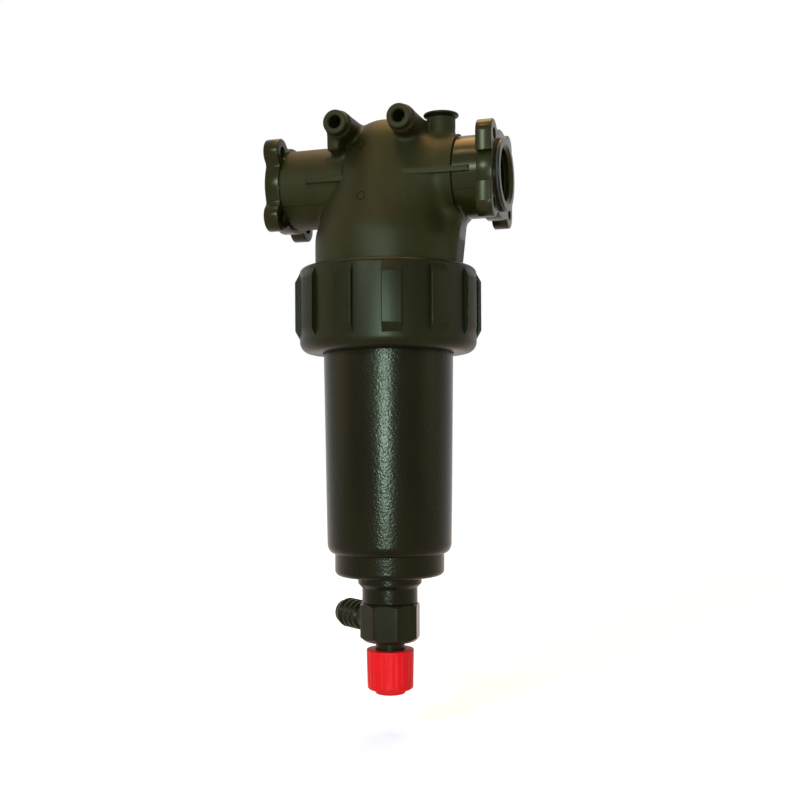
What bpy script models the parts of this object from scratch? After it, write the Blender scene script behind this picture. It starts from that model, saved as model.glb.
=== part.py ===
# Inline pressure-line filter: a flanged head, a bowl held by a threaded ring nut, a screen
# cartridge and a drain valve with a hose barb.
# Metres, +Z up. The origin is where the bowl axis crosses the pipe axis. The inlet is at -X,
# the outlet at +X, and the two bracket bosses open towards -Y.

import math

import bmesh
import bpy
from mathutils import Matrix, Vector

mm = 0.001

# Fits between pieces
seat = 0.3 * mm  # between two pieces that rest on each other
running = 0.4 * mm  # radial, round a piece that turns or slides
seal_fit = 0.2 * mm  # radial, on either side of a seal ring in its groove

# Facets round a full turn
large_steps = 32
medium_steps = 22
small_steps = 16
ring_section_steps = 6
small_fillet = 1.2 * mm  # up to this size a fillet is one chamfer

# Dome of the head
dome_top = 37.7 * mm  # above the pipe axis
dome_base_r = 43.0 * mm
crown_r = 26.0 * mm
dome_slope = math.radians(19.8)
dome_foot_fillet = 30.0 * mm
head_wall = 4.0 * mm
skirt_wall = 3.8 * mm
skirt_depth = 50.8 * mm  # from the pipe axis down to the top of the ring nut

# Thread between head and ring nut
thread_pitch = 5.0 * mm
thread_depth = 1.6 * mm
thread_crest = 1.3 * mm
thread_flank = math.radians(30)
head_thread_turns = 3
nut_thread_turns = 2
thread_steps = large_steps  # in each turn, in line with the wall's facets
thread_lead_in = 2.2 * mm

# Ports
bore_r = 15.15 * mm  # crest of the female pipe thread
thread_relief_r = 16.5 * mm
thread_relief_length = 17.0 * mm
bore_mouth_r = 17.0 * mm
pipe_r = 23.7 * mm
side_band_r = 24.8 * mm
side_band_top = 8.0 * mm  # above the pipe axis
side_band_bottom = 11.0 * mm  # below it
inlet_face = 68.2 * mm  # from the bowl axis
outlet_face = 69.4 * mm
spigot_r = 20.7 * mm
spigot_length = 2.9 * mm
spigot_seal_cord = 1.5 * mm
socket_depth = 4.8 * mm
neck_bottom = 12.0 * mm  # of the dome's slice that the outlet neck leaves, below the pipe axis
neck_r = 24.0 * mm
collar_start = 36.5 * mm
collar_end = 45.2 * mm
collar_r = 24.6 * mm
inner_passage_end = 29.0 * mm  # blind end of the outlet bore, from the bowl axis

# Parting rib along both pipes
rib_height = 3.6 * mm
rib_centre_z = -0.2 * mm
rib_reach = 25.8 * mm
rib_inlet_end = 42.3 * mm
rib_outlet_end = 56.0 * mm

# Port flanges
flange_t = 9.2 * mm
flange_hub_r = 25.5 * mm
flange_lobe_r = 8.3 * mm
flange_fillet = 3.0 * mm
bolt_pitch = 38.0 * mm
bolt_hole_r = 3.3 * mm

# Bracket bosses
boss_pitch = 38.0 * mm
boss_z = 28.8 * mm
boss_r = 7.0 * mm
boss_root_r = 8.0 * mm
boss_mouth_y = 38.0 * mm  # in front of the bowl axis
boss_step = 5.0 * mm
boss_back_y = 3.0 * mm  # behind it
boss_hole_r = 3.6 * mm
boss_hole_depth = 16.0 * mm
web_half = 6.6 * mm
web_setback = 6.2 * mm  # of the web's front edge behind the boss's mouth
web_foot_y = 21.5 * mm  # of its front edge where it meets the pipe
web_foot_z = 8.0 * mm

# Gauge port and its plug
gauge_x = 33.2 * mm
gauge_top = 35.6 * mm
gauge_spigot_r = 8.4 * mm
gauge_bore_r = 5.7 * mm
gauge_seal_cord = 1.5 * mm
plug_head_r = 10.3 * mm
plug_head_t = 2.2 * mm
plug_shank_length = 12.0 * mm

# Duct from the chamber round the cartridge up to the outlet
duct_half = 15.0 * mm
duct_out_top = 48.0 * mm
duct_out_bottom = 44.1 * mm
duct_wall = 4.0 * mm
duct_edge_fillet = 9.0 * mm
duct_cut_bottom = 42.0 * mm  # below the pipe axis

# Central tube of the head, which takes the cartridge
tube_step = 1.5 * mm  # from its bore out to the socket
socket_step = 6.5 * mm  # from the socket out to the cage
cartridge_socket_depth = 14.0 * mm
tube_wall = 3.5 * mm
tube_bottom = 62.0 * mm  # below the pipe axis
chamber_top = 24.0 * mm  # below the pipe axis

# Ring nut
nut_height = 49.7 * mm
nut_wall = 8.85 * mm
nut_lip = 5.0 * mm
nut_shoulder_fillet = 10.5 * mm
nut_foot_fillet = 10.0 * mm
nut_bead = 0.8 * mm
nut_bead_width = 1.9 * mm
pad_count = 12
pad_angle = math.radians(12)
pad_height = 2.8 * mm
pad_top = 2.9 * mm  # below the nut's top
pad_length = 38.7 * mm
pad_end_chamfer = 5.0 * mm
pad_heading = math.radians(-69.6)

# Bowl
bowl_r = 38.4 * mm
bowl_taper = 1.6 * mm
bowl_wall = 3.6 * mm
bowl_flange_t = 6.0 * mm
bowl_length = 117.7 * mm  # from the ring nut's bottom to the step
bowl_shoulder_fillet = 4.2 * mm
bowl_foot_r = 32.4 * mm
bowl_foot_height = 13.2 * mm
bowl_foot_fillet = 2.3 * mm
bowl_spigot_height = 12.0 * mm
bowl_spigot_wall = 5.4 * mm
bowl_seal_cord = 2.7 * mm
boss_collar_r = 18.9 * mm
boss_collar_height = 7.4 * mm
boss_collar_chamfer = 2.6 * mm
drain_boss_r = 16.4 * mm
drain_boss_length = 16.1 * mm
bowl_floor = 4.0 * mm
cup_r = 15.0 * mm  # bore of the cup in the bowl's floor
cup_wall = 2.6 * mm
cup_height = 13.0 * mm

# Screen cartridge
cage_clearance = 4.4 * mm  # between the cage and the bowl's narrowest bore
cage_wall = 1.8 * mm
cage_bars = 8
cage_bays = 3
cage_bar_width = 4.0 * mm
cage_hoop = 4.0 * mm
screen_t = 0.5 * mm
collar_plate = 3.6 * mm
cartridge_spigot = 11.0 * mm
cartridge_seal_cord = 2.4 * mm
cartridge_wall = 2.6 * mm
foot_spigot = 9.0 * mm
hub_r = 5.0 * mm
hub_height = 6.0 * mm
spoke_count = 3
spoke_width = 3.0 * mm
cone_clearance = 9.7 * mm  # between the cone's foot and the cage's bore
cone_tip_r = 3.0 * mm
cone_height = 118.0 * mm
cone_peg_r = 2.6 * mm

# Drain valve
valve_heading = math.radians(144)  # of the hose barb
octagon_apothem = 16.85 * mm
octagon_height = 22.6 * mm
octagon_chamfer = 1.9 * mm
shank_r = 10.2 * mm
shank_length = 12.0 * mm
shank_bore_r = 6.2 * mm
valve_seal_cord = 2.0 * mm
seat_bore_r = 4.0 * mm
seat_depth = 4.0 * mm  # below the octagon's top
valve_chamber_r = 7.6 * mm
valve_chamber_depth = 17.0 * mm  # below the octagon's top
guide_r = 5.4 * mm
gland_r = 8.6 * mm
gland_length = 17.5 * mm
gland_lead_in = 0.8 * mm
barb_reach = 49.0 * mm  # from the bowl axis
barb_crest_r = 9.0 * mm
barb_root_r = 7.5 * mm
barb_bore_r = 5.4 * mm
barb_count = 4
barb_pitch = 5.3 * mm
barb_tip = 2.2 * mm

# Plunger
plunger_seal_cord = 1.4 * mm
plunger_seal_drop = 22.0 * mm  # of the gland seal below the octagon's top
plunger_tip_height = 2.4 * mm
plunger_disc_t = 2.2 * mm
plunger_stem_r = 3.2 * mm
journal_r = 3.2 * mm
screw_r = 1.5 * mm
screw_head_r = 3.0 * mm
screw_head_t = 2.2 * mm
screw_length = 9.0 * mm
screw_slot = 0.9 * mm
washer_r = 5.0 * mm
washer_t = 1.0 * mm

# Knob
knob_gap = 4.9 * mm  # between the octagon and the knob
knob_r = 14.1 * mm
knob_taper = 0.5 * mm
knob_height = 23.6 * mm
knob_rim_fillet = 1.0 * mm
knob_foot_fillet = 2.6 * mm
knob_floor = 4.6 * mm
knob_flutes = 24
knob_flute_depth = 0.35 * mm
knob_counterbore_r = 6.2 * mm
cap_r = 9.2 * mm
cap_t = 2.4 * mm
cap_plug = 1.6 * mm

# Levels on the bowl axis, from the ring nut downwards
nut_top_z = -skirt_depth
nut_bottom_z = nut_top_z - nut_height
lip_top_z = nut_bottom_z + nut_lip
bowl_flange_bottom_z = lip_top_z + seat
bowl_flange_top_z = bowl_flange_bottom_z + bowl_flange_t
skirt_bottom_z = bowl_flange_top_z + seat
bowl_step_z = nut_bottom_z - bowl_length
bowl_bottom_z = bowl_step_z - bowl_foot_height
drain_boss_z = bowl_bottom_z - drain_boss_length
cup_top_z = bowl_bottom_z + bowl_floor + cup_height

# Radii that follow from the thread
skirt_root_r = dome_base_r - thread_depth
skirt_bore_r = skirt_root_r - skirt_wall
nut_bore_r = dome_base_r + running
nut_body_r = nut_bore_r + nut_wall
nut_crest_r = skirt_root_r + running
bowl_flange_r = nut_bore_r - running
bowl_spigot_r = skirt_bore_r - seat
cage_r = min(bowl_spigot_r - bowl_spigot_wall, bowl_r - bowl_taper - bowl_wall) - cage_clearance
cartridge_socket_r = cage_r - socket_step
tube_bore_r = cartridge_socket_r - tube_step
cone_foot_r = cage_r - cage_wall - cone_clearance
bowl_seal_z = bowl_flange_top_z + bowl_spigot_height / 2
spigot_seal_at = outlet_face + spigot_seal_cord / 2 + seat + seal_fit

# Levels of the valve, from the drain boss downwards
octagon_top_z = drain_boss_z - seat
octagon_bottom_z = octagon_top_z - octagon_height
barb_z = (octagon_top_z + octagon_bottom_z) / 2
gland_bottom_z = octagon_bottom_z - gland_length
seat_z = octagon_top_z - seat_depth
knob_top_z = octagon_bottom_z - knob_gap
knob_bottom_z = knob_top_z - knob_height
knob_floor_z = gland_bottom_z - 2 * seat
knob_floor_bottom_z = knob_floor_z - knob_floor

# Frames that turn local Z onto another axis
along_x = Matrix(((0, 0, 1, 0), (1, 0, 0, 0), (0, 1, 0, 0), (0, 0, 0, 1)))
towards_front = Matrix(((1, 0, 0, 0), (0, 0, -1, 0), (0, 1, 0, 0), (0, 0, 0, 1)))
towards_barb = Matrix.Rotation(valve_heading, 4, "Z") @ along_x


# Paths and outlines


def rounded(corners, arc_steps=4):
    """The path through (u, v, fillet) corners; a fillet of 0 is sharp and a small one is a chamfer."""
    path = []
    for index, (u, v, fillet) in enumerate(corners):
        here = Vector((u, v))
        if fillet <= 0:
            path.append((u, v))
            continue
        back = Vector(corners[index - 1][:2]) - here
        ahead = Vector(corners[(index + 1) % len(corners)][:2]) - here
        half = back.angle(ahead) / 2
        reach = min(fillet / math.tan(half), 0.49 * back.length, 0.49 * ahead.length)
        radius = reach * math.tan(half)
        bisector = (back.normalized() + ahead.normalized()).normalized()
        centre = here + bisector * (radius / math.sin(half))
        first = back.normalized() * reach + here - centre
        last = ahead.normalized() * reach + here - centre
        sweep = math.pi - 2 * half
        steps = arc_steps if fillet > small_fillet else 1
        for step in range(steps + 1):
            share = step / steps
            spoke = first * math.sin((1 - share) * sweep) + last * math.sin(share * sweep)
            path.append(tuple(centre + spoke / math.sin(sweep)))
    return path


def arc(centre, radius, start, end, steps):
    """Points on a circle about centre, from one angle to another."""
    angles = [start + (end - start) * step / steps for step in range(steps + 1)]
    return [(centre[0] + radius * math.cos(a), centre[1] + radius * math.sin(a)) for a in angles]


def circle(radius, steps):
    return arc((0, 0), radius, 0, 2 * math.pi, steps)[:-1]


def lobed_outline(hub_r, lobe_r, pitch, fillet):
    """A round hub with a lobe on each corner of a square bolt pattern, blended by fillets."""
    reach = pitch / math.sqrt(2)
    hub_side = hub_r + fillet
    lobe_side = lobe_r + fillet
    turn = math.acos((hub_side**2 + reach**2 - lobe_side**2) / (2 * hub_side * reach))
    fillet_at = Vector((hub_side * math.cos(turn), -hub_side * math.sin(turn)))
    to_lobe = Vector((reach, 0)) - fillet_at
    meets = math.atan2(to_lobe.y, to_lobe.x)
    outline = []
    for quarter in range(4):
        heading = math.pi / 4 + quarter * math.pi / 2
        before = heading - turn
        after = heading + turn
        lobe = (reach * math.cos(heading), reach * math.sin(heading))
        low = (hub_side * math.cos(before), hub_side * math.sin(before))
        high = (hub_side * math.cos(after), hub_side * math.sin(after))
        lobe_swing = math.pi - meets
        outline += arc(low, fillet, before + math.pi, heading + meets, 2)
        outline += arc(lobe, lobe_r, heading - lobe_swing, heading + lobe_swing, 6)[1:-1]
        outline += arc(high, fillet, heading - meets, after - math.pi, 2)
        next_hub = heading + math.pi / 2 - turn
        outline += arc((0, 0), hub_r, after, next_hub, 4)[1:-1]
    return outline


def seal_section(wall_r, cord, z):
    """The round section of a seal ring that stands against a wall of radius wall_r."""
    return arc((wall_r - seal_fit - cord / 2, z), cord / 2, 0, 2 * math.pi, ring_section_steps)[:-1]


def seal_groove(wall_r, cord, surface_r, z):
    """Corners of the groove that holds such a ring, going down the inner piece's side."""
    floor_r = wall_r - cord - 2 * seal_fit
    half = cord / 2 + seal_fit
    return [
        (surface_r, z + half, 0),
        (floor_r, z + half, 0),
        (floor_r, z - half, 0),
        (surface_r, z - half, 0),
    ]


# Solids


def new_object(name, bm, frame=None):
    if frame is not None:
        bm.transform(frame)
    bmesh.ops.remove_doubles(bm, verts=bm.verts, dist=0.001 * mm)
    bmesh.ops.recalc_face_normals(bm, faces=bm.faces)
    mesh = bpy.data.meshes.new(name)
    bm.to_mesh(mesh)
    bm.free()
    made = bpy.data.objects.new(name, mesh)
    bpy.context.scene.collection.objects.link(made)
    return made


def lathe(name, path, frame=None, steps=medium_steps, closed=False):
    """Turns an (r, z) path about local Z. An open path starts and ends on the axis."""
    bm = bmesh.new()
    verts = [bm.verts.new((r, 0, z)) for r, z in path]
    edges = [bm.edges.new(pair) for pair in zip(verts, verts[1:])]
    if closed:
        edges.append(bm.edges.new((verts[-1], verts[0])))
    bmesh.ops.spin(
        bm, geom=verts + edges, cent=(0, 0, 0), axis=(0, 0, 1), angle=2 * math.pi, steps=steps, use_merge=True
    )
    return new_object(name, bm, frame)


def prism(name, outline, start, end, frame=None):
    """Extrudes an outline along local Z between two heights."""
    bm = bmesh.new()
    face = bm.faces.new([bm.verts.new((u, v, start)) for u, v in outline])
    grown = bmesh.ops.extrude_face_region(bm, geom=[face])
    moved = [item for item in grown["geom"] if isinstance(item, bmesh.types.BMVert)]
    bmesh.ops.translate(bm, verts=moved, vec=(0, 0, end - start))
    return new_object(name, bm, frame)


def block(name, low, high, frame=None):
    """A box between two corners."""
    outline = [(low[0], low[1]), (high[0], low[1]), (high[0], high[1]), (low[0], high[1])]
    return prism(name, outline, low[2], high[2], frame)


def cylinder(name, radius, start, end, frame=None, steps=medium_steps):
    return prism(name, circle(radius, steps), start, end, frame)


def merged(name, pieces):
    """Several solids that stand clear of each other, as one object."""
    bm = bmesh.new()
    for piece in pieces:
        bm.from_mesh(piece.data)
        bpy.data.objects.remove(piece)
    return new_object(name, bm)


def combine(base, tool, operation):
    """A Boolean between two solids, applied; the tool is used up."""
    step = base.modifiers.new(operation, "BOOLEAN")
    step.operation = operation
    step.solver = "EXACT"
    step.object = tool
    bpy.context.view_layer.update()
    graph = bpy.context.evaluated_depsgraph_get()
    result = bpy.data.meshes.new_from_object(base.evaluated_get(graph))
    base.modifiers.remove(step)
    bm = bmesh.new()
    bm.from_mesh(result)
    bmesh.ops.remove_doubles(bm, verts=bm.verts, dist=0.001 * mm)
    bmesh.ops.dissolve_degenerate(bm, edges=bm.edges, dist=0.001 * mm)
    bm.to_mesh(result)
    bm.free()
    used = base.data
    base.data = result
    bpy.data.meshes.remove(used)
    bpy.data.objects.remove(tool)


def add(base, *tools):
    for tool in tools:
        combine(base, tool, "UNION")


def cut(base, *tools):
    for tool in tools:
        combine(base, tool, "DIFFERENCE")


def thread_ridge(name, buried_r, crest_r, bottom_z, turns):
    """A right-handed helical ridge of trapezoid section, sunk into the wall that carries it."""
    depth = abs(crest_r - buried_r)
    crest_half = thread_crest / 2
    foot_half = crest_half + depth * math.tan(thread_flank)
    section = [(buried_r, -foot_half), (crest_r, -crest_half), (crest_r, crest_half), (buried_r, foot_half)]
    steps = round(turns * thread_steps)
    bm = bmesh.new()
    verts = [bm.verts.new((r, 0, bottom_z + z)) for r, z in section]
    edges = [bm.edges.new((verts[i], verts[(i + 1) % 4])) for i in range(4)]
    spun = bmesh.ops.spin(
        bm,
        geom=verts + edges,
        cent=(0, 0, 0),
        axis=(0, 0, 1),
        angle=turns * 2 * math.pi,
        steps=steps,
        dvec=(0, 0, thread_pitch * turns / steps),
    )
    last = [item for item in spun["geom_last"] if isinstance(item, bmesh.types.BMEdge)]
    bmesh.ops.edgeloop_fill(bm, edges=edges)
    bmesh.ops.edgeloop_fill(bm, edges=last)
    return new_object(name, bm)


def finish(part, colour, roughness, metallic=0.0, crease=30):
    """The part's own material and its smooth shading."""
    look = bpy.data.materials.new(part.name + "_finish")
    look.use_nodes = True
    shader = look.node_tree.nodes["Principled BSDF"]
    shader.inputs["Base Color"].default_value = (*colour, 1)
    shader.inputs["Roughness"].default_value = roughness
    shader.inputs["Metallic"].default_value = metallic
    part.data.materials.clear()
    part.data.materials.append(look)
    part.data.shade_smooth()
    part.data.set_sharp_from_angle(angle=math.radians(crease))
    return part


black_plastic = (0.022, 0.020, 0.017)
black_rubber = (0.012, 0.012, 0.012)
grey_plastic = (0.16, 0.17, 0.18)
red_plastic = (0.80, 0.016, 0.022)
stainless = (0.55, 0.55, 0.53)


# Head


def dome_radius(z):
    """Outer radius of the dome's cone at a height."""
    tangent_r = crown_r * math.cos(dome_slope)
    tangent_z = dome_top - crown_r + crown_r * math.sin(dome_slope)
    return min(dome_base_r, tangent_r + (tangent_z - z) * math.tan(dome_slope))


def dome_solid():
    crown_z = dome_top - crown_r
    crown = arc((0, crown_z), crown_r, math.pi / 2, dome_slope, 6)
    tangent_r, tangent_z = crown[-1]
    base_z = tangent_z - (dome_base_r - tangent_r) / math.tan(dome_slope)
    thread_top_z = skirt_bottom_z + thread_lead_in + head_thread_turns * thread_pitch
    foot = rounded(
        [
            (tangent_r, tangent_z, 0),
            (dome_base_r, base_z, dome_foot_fillet),
            (dome_base_r, thread_top_z, 0),
            (skirt_root_r, thread_top_z - thread_depth, 0),
            (skirt_root_r, skirt_bottom_z, 0),
            (0, skirt_bottom_z, 0),
        ],
        arc_steps=4,
    )
    return lathe("head", crown + foot[1:], steps=large_steps)


def outlet_neck():
    """The neck that runs straight from the dome's sides to the outlet's collar, a hull of both."""
    crown_z = dome_top - crown_r
    crown = arc((0, crown_z), crown_r - seat, math.radians(80), dome_slope, 4)
    rings = [*crown, (dome_radius(-neck_bottom) - seat, -neck_bottom)]
    bm = bmesh.new()
    for radius, z in rings:
        for x, y in circle(radius, large_steps):
            bm.verts.new((x, y, z))
    for y, z in circle(neck_r, large_steps):
        bm.verts.new((collar_start + seat, y, z))
    hull = bmesh.ops.convex_hull(bm, input=bm.verts)
    spare = [v for v in hull["geom_interior"] if isinstance(v, bmesh.types.BMVert)]
    bmesh.ops.delete(bm, geom=spare, context="VERTS")
    return new_object("outlet_neck", bm)


def side_band_outline():
    """The pipe's raised band: a slice of a larger circle, flat above and below."""
    high = math.asin(side_band_top / side_band_r)
    low = -math.asin(side_band_bottom / side_band_r)
    right = arc((0, 0), side_band_r, low, high, 8)
    left = arc((0, 0), side_band_r, math.pi - high, math.pi - low, 8)
    return right + left


def port_flange(name, outer_x, inner_x):
    outline = lobed_outline(flange_hub_r, flange_lobe_r, bolt_pitch, flange_fillet)
    return prism(name, outline, min(outer_x, inner_x), max(outer_x, inner_x), along_x)


def pipes():
    """Inlet and outlet pipes, their bands, the outlet's neck and collar, and the parting rib."""
    inlet_inner = -(inlet_face - flange_t)
    outlet_inner = outlet_face - flange_t
    overlap = flange_t / 2
    band = side_band_outline()
    rib_low = rib_centre_z - rib_height / 2
    rib_high = rib_centre_z + rib_height / 2
    end_r = rib_height * 0.49
    rib = rounded(
        [
            (-rib_inlet_end, rib_low, end_r),
            (rib_outlet_end, rib_low, end_r),
            (rib_outlet_end, rib_high, end_r),
            (-rib_inlet_end, rib_high, end_r),
        ],
        arc_steps=3,
    )
    collar = [
        (0, collar_start),
        (neck_r, collar_start),
        (collar_r, collar_end),
        (0, collar_end),
    ]
    return [
        cylinder("inlet_pipe", pipe_r, inlet_inner - overlap, 0, along_x),
        prism("inlet_band", band, inlet_inner - overlap / 2, 0, along_x),
        cylinder("outlet_pipe", pipe_r, 0, outlet_inner + overlap, along_x),
        prism("outlet_band", band, 0, outlet_inner + overlap / 2, along_x),
        outlet_neck(),
        lathe("outlet_collar", collar, along_x),
        prism("parting_rib", rib, -rib_reach, rib_reach, towards_front),
        port_flange("inlet_flange", -inlet_face, inlet_inner),
        port_flange("outlet_flange", outlet_face, outlet_inner),
        cylinder("spigot", spigot_r, outlet_inner, outlet_face + spigot_length, along_x),
    ]


def bracket_boss(side):
    """One horizontal boss with the web that carries it on the pipe."""
    at = Matrix.Translation((side * boss_pitch / 2, 0, boss_z)) @ towards_front
    step_at = boss_mouth_y - boss_step
    path = rounded(
        [
            (0, boss_mouth_y, 0),
            (boss_r, boss_mouth_y, 0.7 * mm),
            (boss_r, step_at, 0),
            (boss_root_r, step_at - (boss_root_r - boss_r), 0),
            (boss_root_r, -boss_back_y, 0),
            (0, -boss_back_y, 0),
        ],
        arc_steps=2,
    )
    centre_x = side * boss_pitch / 2
    web_front = -(boss_mouth_y - web_setback)
    web = [
        (boss_back_y, boss_z),
        (web_front, boss_z),
        (web_front, boss_z - boss_root_r),
        (-web_foot_y, web_foot_z),
        (boss_back_y, web_foot_z),
    ]
    web_solid = prism("web", web, centre_x - web_half, centre_x + web_half, along_x)
    return [lathe("boss", path, at, small_steps), web_solid]


def outlet_duct():
    """The bulge below the outlet that covers the way up from the chamber."""
    top_z = -bore_r + seat
    bottom_z = nut_top_z + nut_bead + 2 * seat
    inner_x = dome_base_r / 2
    outline = [
        (inner_x, top_z),
        (inner_x, bottom_z),
        (duct_out_bottom, bottom_z),
        (duct_out_top, top_z),
    ]
    made = prism("duct", outline, -duct_half, duct_half, towards_front)
    bm = bmesh.new()
    bm.from_mesh(made.data)
    outer = [e for e in bm.edges if all(v.co.x > duct_out_bottom - seat for v in e.verts)]
    upright = [e for e in outer if abs(e.verts[0].co.y - e.verts[1].co.y) < seat]
    bmesh.ops.bevel(bm, geom=upright, offset=duct_edge_fillet, segments=5, profile=0.5, affect="EDGES")
    bm.to_mesh(made.data)
    bm.free()
    return made


def chamber_cutter():
    """The room round the cartridge, up to the ring-shaped ceiling beside the central tube."""
    tube_r = cartridge_socket_r + tube_wall
    ceiling_r = dome_radius(-chamber_top) - head_wall
    straight_z = -chamber_top - (ceiling_r * 0.5)
    below = skirt_bottom_z - head_wall
    path = [
        (0, -tube_bottom),
        (tube_r, -tube_bottom),
        (tube_r, -chamber_top),
        (min(ceiling_r, skirt_bore_r), -chamber_top),
        (skirt_bore_r, straight_z),
        (skirt_bore_r, below),
        (0, below),
    ]
    return lathe("chamber", path, steps=large_steps)


def tube_cutter():
    """The hollow of the dome and the central tube, with the cartridge's socket at its foot."""
    crown_z = dome_top - crown_r
    crown = arc((0, crown_z), crown_r - head_wall, math.pi / 2, math.pi / 8, 3)
    socket_z = -(tube_bottom - cartridge_socket_depth)
    foot = [
        (tube_bore_r, crown_z - crown_r / 3),
        (tube_bore_r, socket_z),
        (cartridge_socket_r, socket_z - (cartridge_socket_r - tube_bore_r)),
        (cartridge_socket_r, -tube_bottom - seat),
        (0, -tube_bottom - seat),
    ]
    return lathe("tube", crown + foot, steps=medium_steps)


def outlet_bore_cutter():
    mouth = outlet_face + spigot_length
    lip = mouth - (bore_mouth_r - bore_r)
    relief_top = lip - 1.0 * mm
    relief_end = mouth - thread_relief_length
    step = thread_relief_r - bore_r
    path = [
        (0, inner_passage_end),
        (bore_r, inner_passage_end),
        (bore_r, relief_end - step),
        (thread_relief_r, relief_end),
        (thread_relief_r, relief_top - step),
        (bore_r, relief_top),
        (bore_r, lip),
        (bore_mouth_r + head_wall, mouth + head_wall),
        (0, mouth + head_wall),
    ]
    return lathe("outlet_bore", path, along_x, medium_steps)


def inlet_bore_cutter():
    socket_r = spigot_r + running
    floor = socket_depth - inlet_face
    lip = floor + (bore_mouth_r - bore_r)
    path = [
        (0, 0),
        (bore_r, 0),
        (bore_r, lip),
        (bore_mouth_r, floor),
        (socket_r, floor),
        (socket_r, -inlet_face - head_wall),
        (0, -inlet_face - head_wall),
    ]
    return lathe("inlet_bore", path, along_x, medium_steps)


def spigot_groove_cutter():
    """The groove for the seal round the outlet spigot."""
    corners = seal_groove(spigot_r + running, spigot_seal_cord, spigot_r + head_wall, spigot_seal_at)
    path = [(r, x) for r, x, _ in corners]
    return lathe("spigot_groove", path, along_x, closed=True)


def bolt_holes(outer_x, inner_x):
    holes = []
    for y in (-bolt_pitch / 2, bolt_pitch / 2):
        for z in (-bolt_pitch / 2, bolt_pitch / 2):
            at = Matrix.Translation((0, y, z)) @ along_x
            holes.append(cylinder("bolt_hole", bolt_hole_r, outer_x, inner_x, at, 10))
    return merged("bolt_holes", holes)


def boss_hole(side):
    at = Matrix.Translation((side * boss_pitch / 2, 0, boss_z)) @ towards_front
    floor = boss_mouth_y - boss_hole_depth
    path = [
        (0, floor - boss_hole_r / 2),
        (boss_hole_r, floor),
        (boss_hole_r, boss_mouth_y + head_wall),
        (0, boss_mouth_y + head_wall),
    ]
    return lathe("boss_hole", path, at, 12)


def gauge_bore_cutter():
    seal_well = gauge_bore_r + gauge_seal_cord
    path = [
        (0, 0),
        (gauge_bore_r, 0),
        (gauge_bore_r, gauge_top - gauge_seal_cord),
        (seal_well, gauge_top - gauge_seal_cord),
        (seal_well, gauge_top + head_wall),
        (0, gauge_top + head_wall),
    ]
    return lathe("gauge_bore", path, Matrix.Translation((gauge_x, 0, 0)), small_steps)


def duct_cutter():
    low = (inner_passage_end, -duct_half + duct_wall, -duct_cut_bottom)
    high = (duct_out_bottom - duct_wall, duct_half - duct_wall, 0)
    return block("duct_cut", low, high)


def build_head():
    head = dome_solid()
    thread_z = skirt_bottom_z + thread_lead_in
    buried_r = skirt_root_r - thread_depth / 2
    add(head, *pipes())
    add(head, *bracket_boss(-1), *bracket_boss(1), outlet_duct())
    gauge_at = Matrix.Translation((gauge_x, 0, 0))
    add(head, cylinder("gauge_spigot", gauge_spigot_r, bore_r, gauge_top, gauge_at, small_steps))
    cut(head, chamber_cutter(), tube_cutter(), duct_cutter())
    cut(head, inlet_bore_cutter(), outlet_bore_cutter(), spigot_groove_cutter())
    inlet_inner = -(inlet_face - flange_t)
    outlet_inner = outlet_face - flange_t
    cut(head, bolt_holes(-inlet_face - seat, inlet_inner + seat))
    cut(head, bolt_holes(outlet_inner - seat, outlet_face + seat))
    cut(head, boss_hole(-1), boss_hole(1), gauge_bore_cutter())
    add(head, thread_ridge("head_thread", buried_r, dome_base_r, thread_z, head_thread_turns))
    return finish(head, black_plastic, 0.42)


def build_outlet_seal():
    section = seal_section(spigot_r + running, spigot_seal_cord, spigot_seal_at)
    return finish(lathe("outlet_seal", section, along_x, closed=True), black_rubber, 0.55)


def build_gauge_plug():
    at = Matrix.Translation((gauge_x, 0, 0))
    under = gauge_top + seat
    shank_r = gauge_bore_r - running
    edge = plug_head_t / 2
    path = rounded(
        [
            (0, under + plug_head_t, 0),
            (plug_head_r, under + plug_head_t, 0.8 * mm),
            (plug_head_r, under + edge, 0.3 * mm),
            (gauge_spigot_r, under, 0),
            (shank_r, under, 0),
            (shank_r, under - plug_shank_length, 0.6 * mm),
            (0, under - plug_shank_length, 0),
        ],
        arc_steps=3,
    )
    return finish(lathe("gauge_plug", path, at, medium_steps), black_plastic, 0.38)


def build_gauge_plug_seal():
    at = Matrix.Translation((gauge_x, 0, 0))
    wall_r = gauge_bore_r + gauge_seal_cord
    section = seal_section(wall_r, gauge_seal_cord - 2 * seal_fit, gauge_top - gauge_seal_cord / 2)
    return finish(lathe("gauge_plug_seal", section, at, small_steps, closed=True), black_rubber, 0.55)


# Ring nut


def nut_pad(index):
    """One grip pad with chamfered ends, centred on its heading."""
    top = nut_top_z - pad_top
    bottom = top - pad_length
    buried = nut_body_r - pad_height
    face = nut_body_r + pad_height
    section = [
        (buried, top),
        (nut_body_r, top),
        (face, top - pad_end_chamfer),
        (face, bottom + pad_end_chamfer),
        (nut_body_r, bottom),
        (buried, bottom),
    ]
    bm = bmesh.new()
    verts = [bm.verts.new((r, 0, z)) for r, z in section]
    face_of_section = bm.faces.new(verts)
    bmesh.ops.spin(
        bm, geom=[face_of_section], cent=(0, 0, 0), axis=(0, 0, 1), angle=pad_angle, steps=1, use_duplicate=False
    )
    bmesh.ops.recalc_face_normals(bm, faces=bm.faces)
    proud = [v for v in bm.verts if math.hypot(v.co.x, v.co.y) > nut_body_r + pad_height / 2]
    edges = [e for e in bm.edges if e.verts[0] in proud and e.verts[1] in proud and e.calc_face_angle(0) > 0.5]
    bmesh.ops.bevel(bm, geom=edges, offset=0.7 * mm, segments=1, affect="EDGES")
    heading = pad_heading + index * 2 * math.pi / pad_count - pad_angle / 2
    return new_object("pad", bm, Matrix.Rotation(heading, 4, "Z"))


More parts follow.
